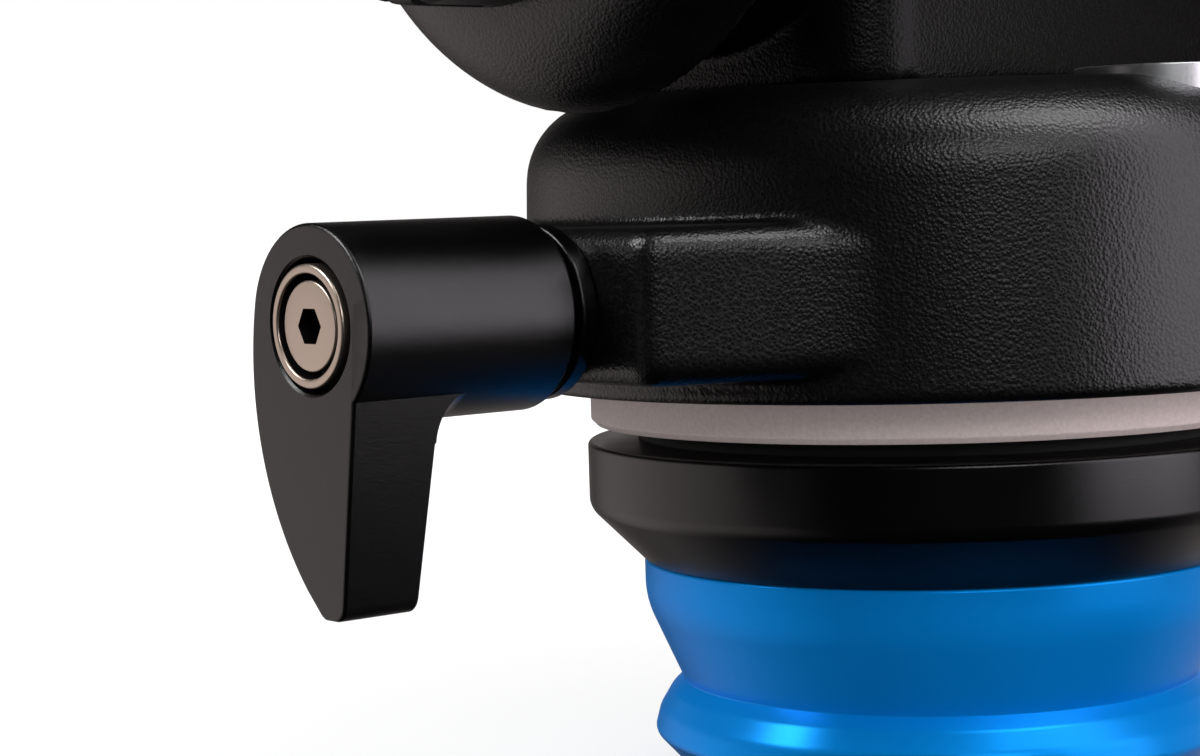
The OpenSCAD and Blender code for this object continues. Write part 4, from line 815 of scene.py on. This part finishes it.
# Pan bar: a clamp on the right rosette with a knob, an aluminium tube in its socket and a rubber grip.
# The clamp is a painted casting, the tube is anodised black, and the ribbed grip is moulded over its end.
bar_clamp = cast("bar_clamp_cast", [shape("bar_clamp")], 0.35, 3)
fitted(coated(bar_clamp, sand_black), "pan_bar", "black_casting", "bar_clamp")
dressed(plate_black, "bar_tube")
tube_low, tube_high = span("bar_tube")
bar_r = (tube_high.x - tube_low.x) / 2
bar_y, bar_rise, bar_slope = -30, 22, 25
bar_axis = Vector(((tube_low.x + tube_high.x) / 2, bar_y, tilt_z + bar_rise)) * MM
bar_place = Matrix.Translation(bar_axis) @ Matrix.Rotation(math.radians(90 + bar_slope), 4, "X")
grip_z0, grip_z1 = 130, 235
grip_waist_r, grip_end_r, grip_end_round = 12, 13, 5
grip_wall, grip_mouth = 4, 2
taper, taper_z0 = 0.019, grip_z0 + 52
rib_z0, rib_step, ribs = 142, 6, 14
groove_depth, groove_top, groove_floor = 0.9, 1.3, 0.7
bore_r = bar_r + press
profile = [(0, grip_z1 - grip_wall, 0), (bore_r, grip_z1 - grip_wall, 0), (bore_r, grip_z0, 0),
           (bar_r + grip_mouth, grip_z0, 0.6), (grip_waist_r, grip_z0 + 4, 1.5)]
for k in range(ribs):
    z = rib_z0 + rib_step * k
    r = grip_waist_r + max(0, z - taper_z0) * taper
    profile += [(r, z - groove_top, 0.4), (r - groove_depth, z - groove_floor, 0.3),
                (r - groove_depth, z + groove_floor, 0.3), (r, z + groove_top, 0.4)]
profile += [(grip_end_r, grip_z1, grip_end_round), (0, grip_z1, 0)]
grip = piece("bar_grip_moulded", turned(rounded(profile, 3), 96), bar_place)
fitted(coated(grip, rubber), "pan_bar", "black_rubber", "bar_grip")
bar_knob = cast("bar_knob_cast", [shape("bar_knob")], 0.3, 4)
fitted(coated(bar_knob, plastic), "pan_bar_knob", "black_plastic", "bar_knob")

# Studio: a pale floor that shows white around the object's shadow, in a white surround. Reflections see two
# soft screens, one behind at the left and one at the right. A card stands close by, with a key, a fill and
# a top lamp.
scene = bpy.context.scene
scene.view_settings.view_transform = "Standard"
azimuth = math.radians(-39.938)
pitch = math.radians(3.847)
roll = math.radians(-1.811)
ahead = Vector((-math.sin(azimuth), math.cos(azimuth), 0))
side = Vector((math.cos(azimuth), math.sin(azimuth), 0))
up = Vector((0, 0, 1))
view = ahead * math.cos(pitch) - up * math.sin(pitch)
lifted = up * math.cos(pitch) + ahead * math.sin(pitch)
right = side * math.cos(roll) + lifted * math.sin(roll)
top = lifted * math.cos(roll) - side * math.sin(roll)
camera = bpy.data.objects.new("camera", bpy.data.cameras.new("camera"))
camera.data.sensor_fit = "HORIZONTAL"
camera.data.sensor_width = 36
camera.data.lens = 81.924
camera.data.clip_start = 0.01
turn = Matrix((right, top, -view)).transposed().to_4x4()
camera.matrix_world = Matrix.Translation((-0.20586, -0.19283, 0.06048)) @ turn
scene.collection.objects.link(camera)
scene.camera = camera

floor_half, floor_drop = 4.0, 0.0002
ground = bmesh.new()
bmesh.ops.create_grid(ground, x_segments=1, y_segments=1, size=floor_half)
floor_mesh = bpy.data.meshes.new("floor")
ground.to_mesh(floor_mesh)
ground.free()
floor = bpy.data.objects.new("floor", floor_mesh)
floor.location.z = -floor_drop
scene.collection.objects.link(floor)
floor_white, tree, shader, place = finish("floor_white", (0.3, 0.3, 0.3), 0.0, 0.9)
shader.inputs["Specular IOR Level"].default_value = 0.0
shader.inputs["Emission Color"].default_value = (1, 1, 1, 1)
rays = tree.nodes.new("ShaderNodeLightPath")
away = tree.nodes.new("ShaderNodeVectorMath")
away.operation = "LENGTH"
tree.links.new(place, away.inputs[0])
glow = tree.nodes.new("ShaderNodeMath")
glow.operation = "MULTIPLY"
tree.links.new(ramp(tree, away.outputs["Value"], 0.62, 0.97, 0.06, 0.5), glow.inputs[0])
tree.links.new(rays.outputs["Is Camera Ray"], glow.inputs[1])
tree.links.new(glow.outputs["Value"], shader.inputs["Emission Strength"])
floor.data.materials.append(floor_white)
floor.visible_glossy = False

world = bpy.data.worlds.new("studio")
scene.world = world
world.use_nodes = True
tree = world.node_tree
plain = tree.nodes["Background"]
plain.inputs["Color"].default_value = (0.85, 0.85, 0.85, 1)
heading = tree.nodes.new("ShaderNodeTexCoord").outputs["Generated"]
split = tree.nodes.new("ShaderNodeSeparateXYZ")
tree.links.new(heading, split.inputs["Vector"])
unlit = 0.003
screens = []
for towards, level, edge in (((-0.54, 0.80, -0.26), 1.0, 0.56), ((0.98, 0.17, 0.0), 0.6, 0.45)):
    facing = tree.nodes.new("ShaderNodeVectorMath")
    facing.operation = "DOT_PRODUCT"
    facing.inputs[1].default_value = towards
    tree.links.new(heading, facing.inputs[0])
    screens.append(ramp(tree, facing.outputs["Value"], unlit, level, edge, 1.0))
wider = tree.nodes.new("ShaderNodeMath")
wider.operation = "MAXIMUM"
for screen, socket in zip(screens, wider.inputs):
    tree.links.new(screen, socket)
screen = wider.outputs["Value"]
dim = 0.03
for edge in (ramp(tree, split.outputs["Z"], dim, 1.0, -0.85, -0.55),
             ramp(tree, split.outputs["Z"], 1.0, dim, 0.12, 0.35)):
    part = tree.nodes.new("ShaderNodeMath")
    part.operation = "MULTIPLY"
    tree.links.new(screen, part.inputs[0])
    tree.links.new(edge, part.inputs[1])
    screen = part.outputs["Value"]
studio = tree.nodes.new("ShaderNodeBackground")
tree.links.new(screen, studio.inputs["Strength"])
studio.inputs["Color"].default_value = (0.80, 0.73, 0.71, 1)
white = tree.nodes.new("ShaderNodeBackground")
white.inputs["Color"].default_value = (1, 1, 1, 1)
rays = tree.nodes.new("ShaderNodeLightPath")
last = plain
for over, ray in ((studio, "Is Glossy Ray"), (white, "Is Transmission Ray"), (white, "Is Camera Ray")):
    mixed = tree.nodes.new("ShaderNodeMixShader")
    tree.links.new(rays.outputs[ray], mixed.inputs["Fac"])
    tree.links.new(last.outputs[0], mixed.inputs[1])
    tree.links.new(over.outputs[0], mixed.inputs[2])
    last = mixed
tree.links.new(last.outputs[0], tree.nodes["World Output"].inputs["Surface"])


def lamp(name, centre, aim, width, height, watts, colour=(1, 1, 1)):
    """A soft rectangular lamp that stands at a point and faces another."""
    light = bpy.data.lights.new(name, "AREA")
    light.shape = "RECTANGLE"
    light.size = width
    light.size_y = height
    light.energy = watts
    light.color = colour
    obj = bpy.data.objects.new(name, light)
    back = (Vector(centre) - Vector(aim)).normalized()
    obj.matrix_world = Matrix.Translation(centre) @ back.to_track_quat("Z", "Y").to_matrix().to_4x4()
    obj.visible_camera = False
    scene.collection.objects.link(obj)


lamp("card", (0.033, -0.138, 0.13), (-0.065, -0.009, 0.13), 0.10, 0.23, 0.17, (1.0, 0.94, 1.0))
lamp("key", (-0.60, 0.28, 0.68), (0, 0, 0.05), 0.42, 0.42, 6.0)
lamp("fill", (-0.36, -0.74, 0.40), (0, 0, 0.05), 0.45, 0.22, 1.4)
lamp("top", (0.0, -0.24, 0.47), (-0.04, -0.02, 0.06), 0.25, 0.25, 1.1)
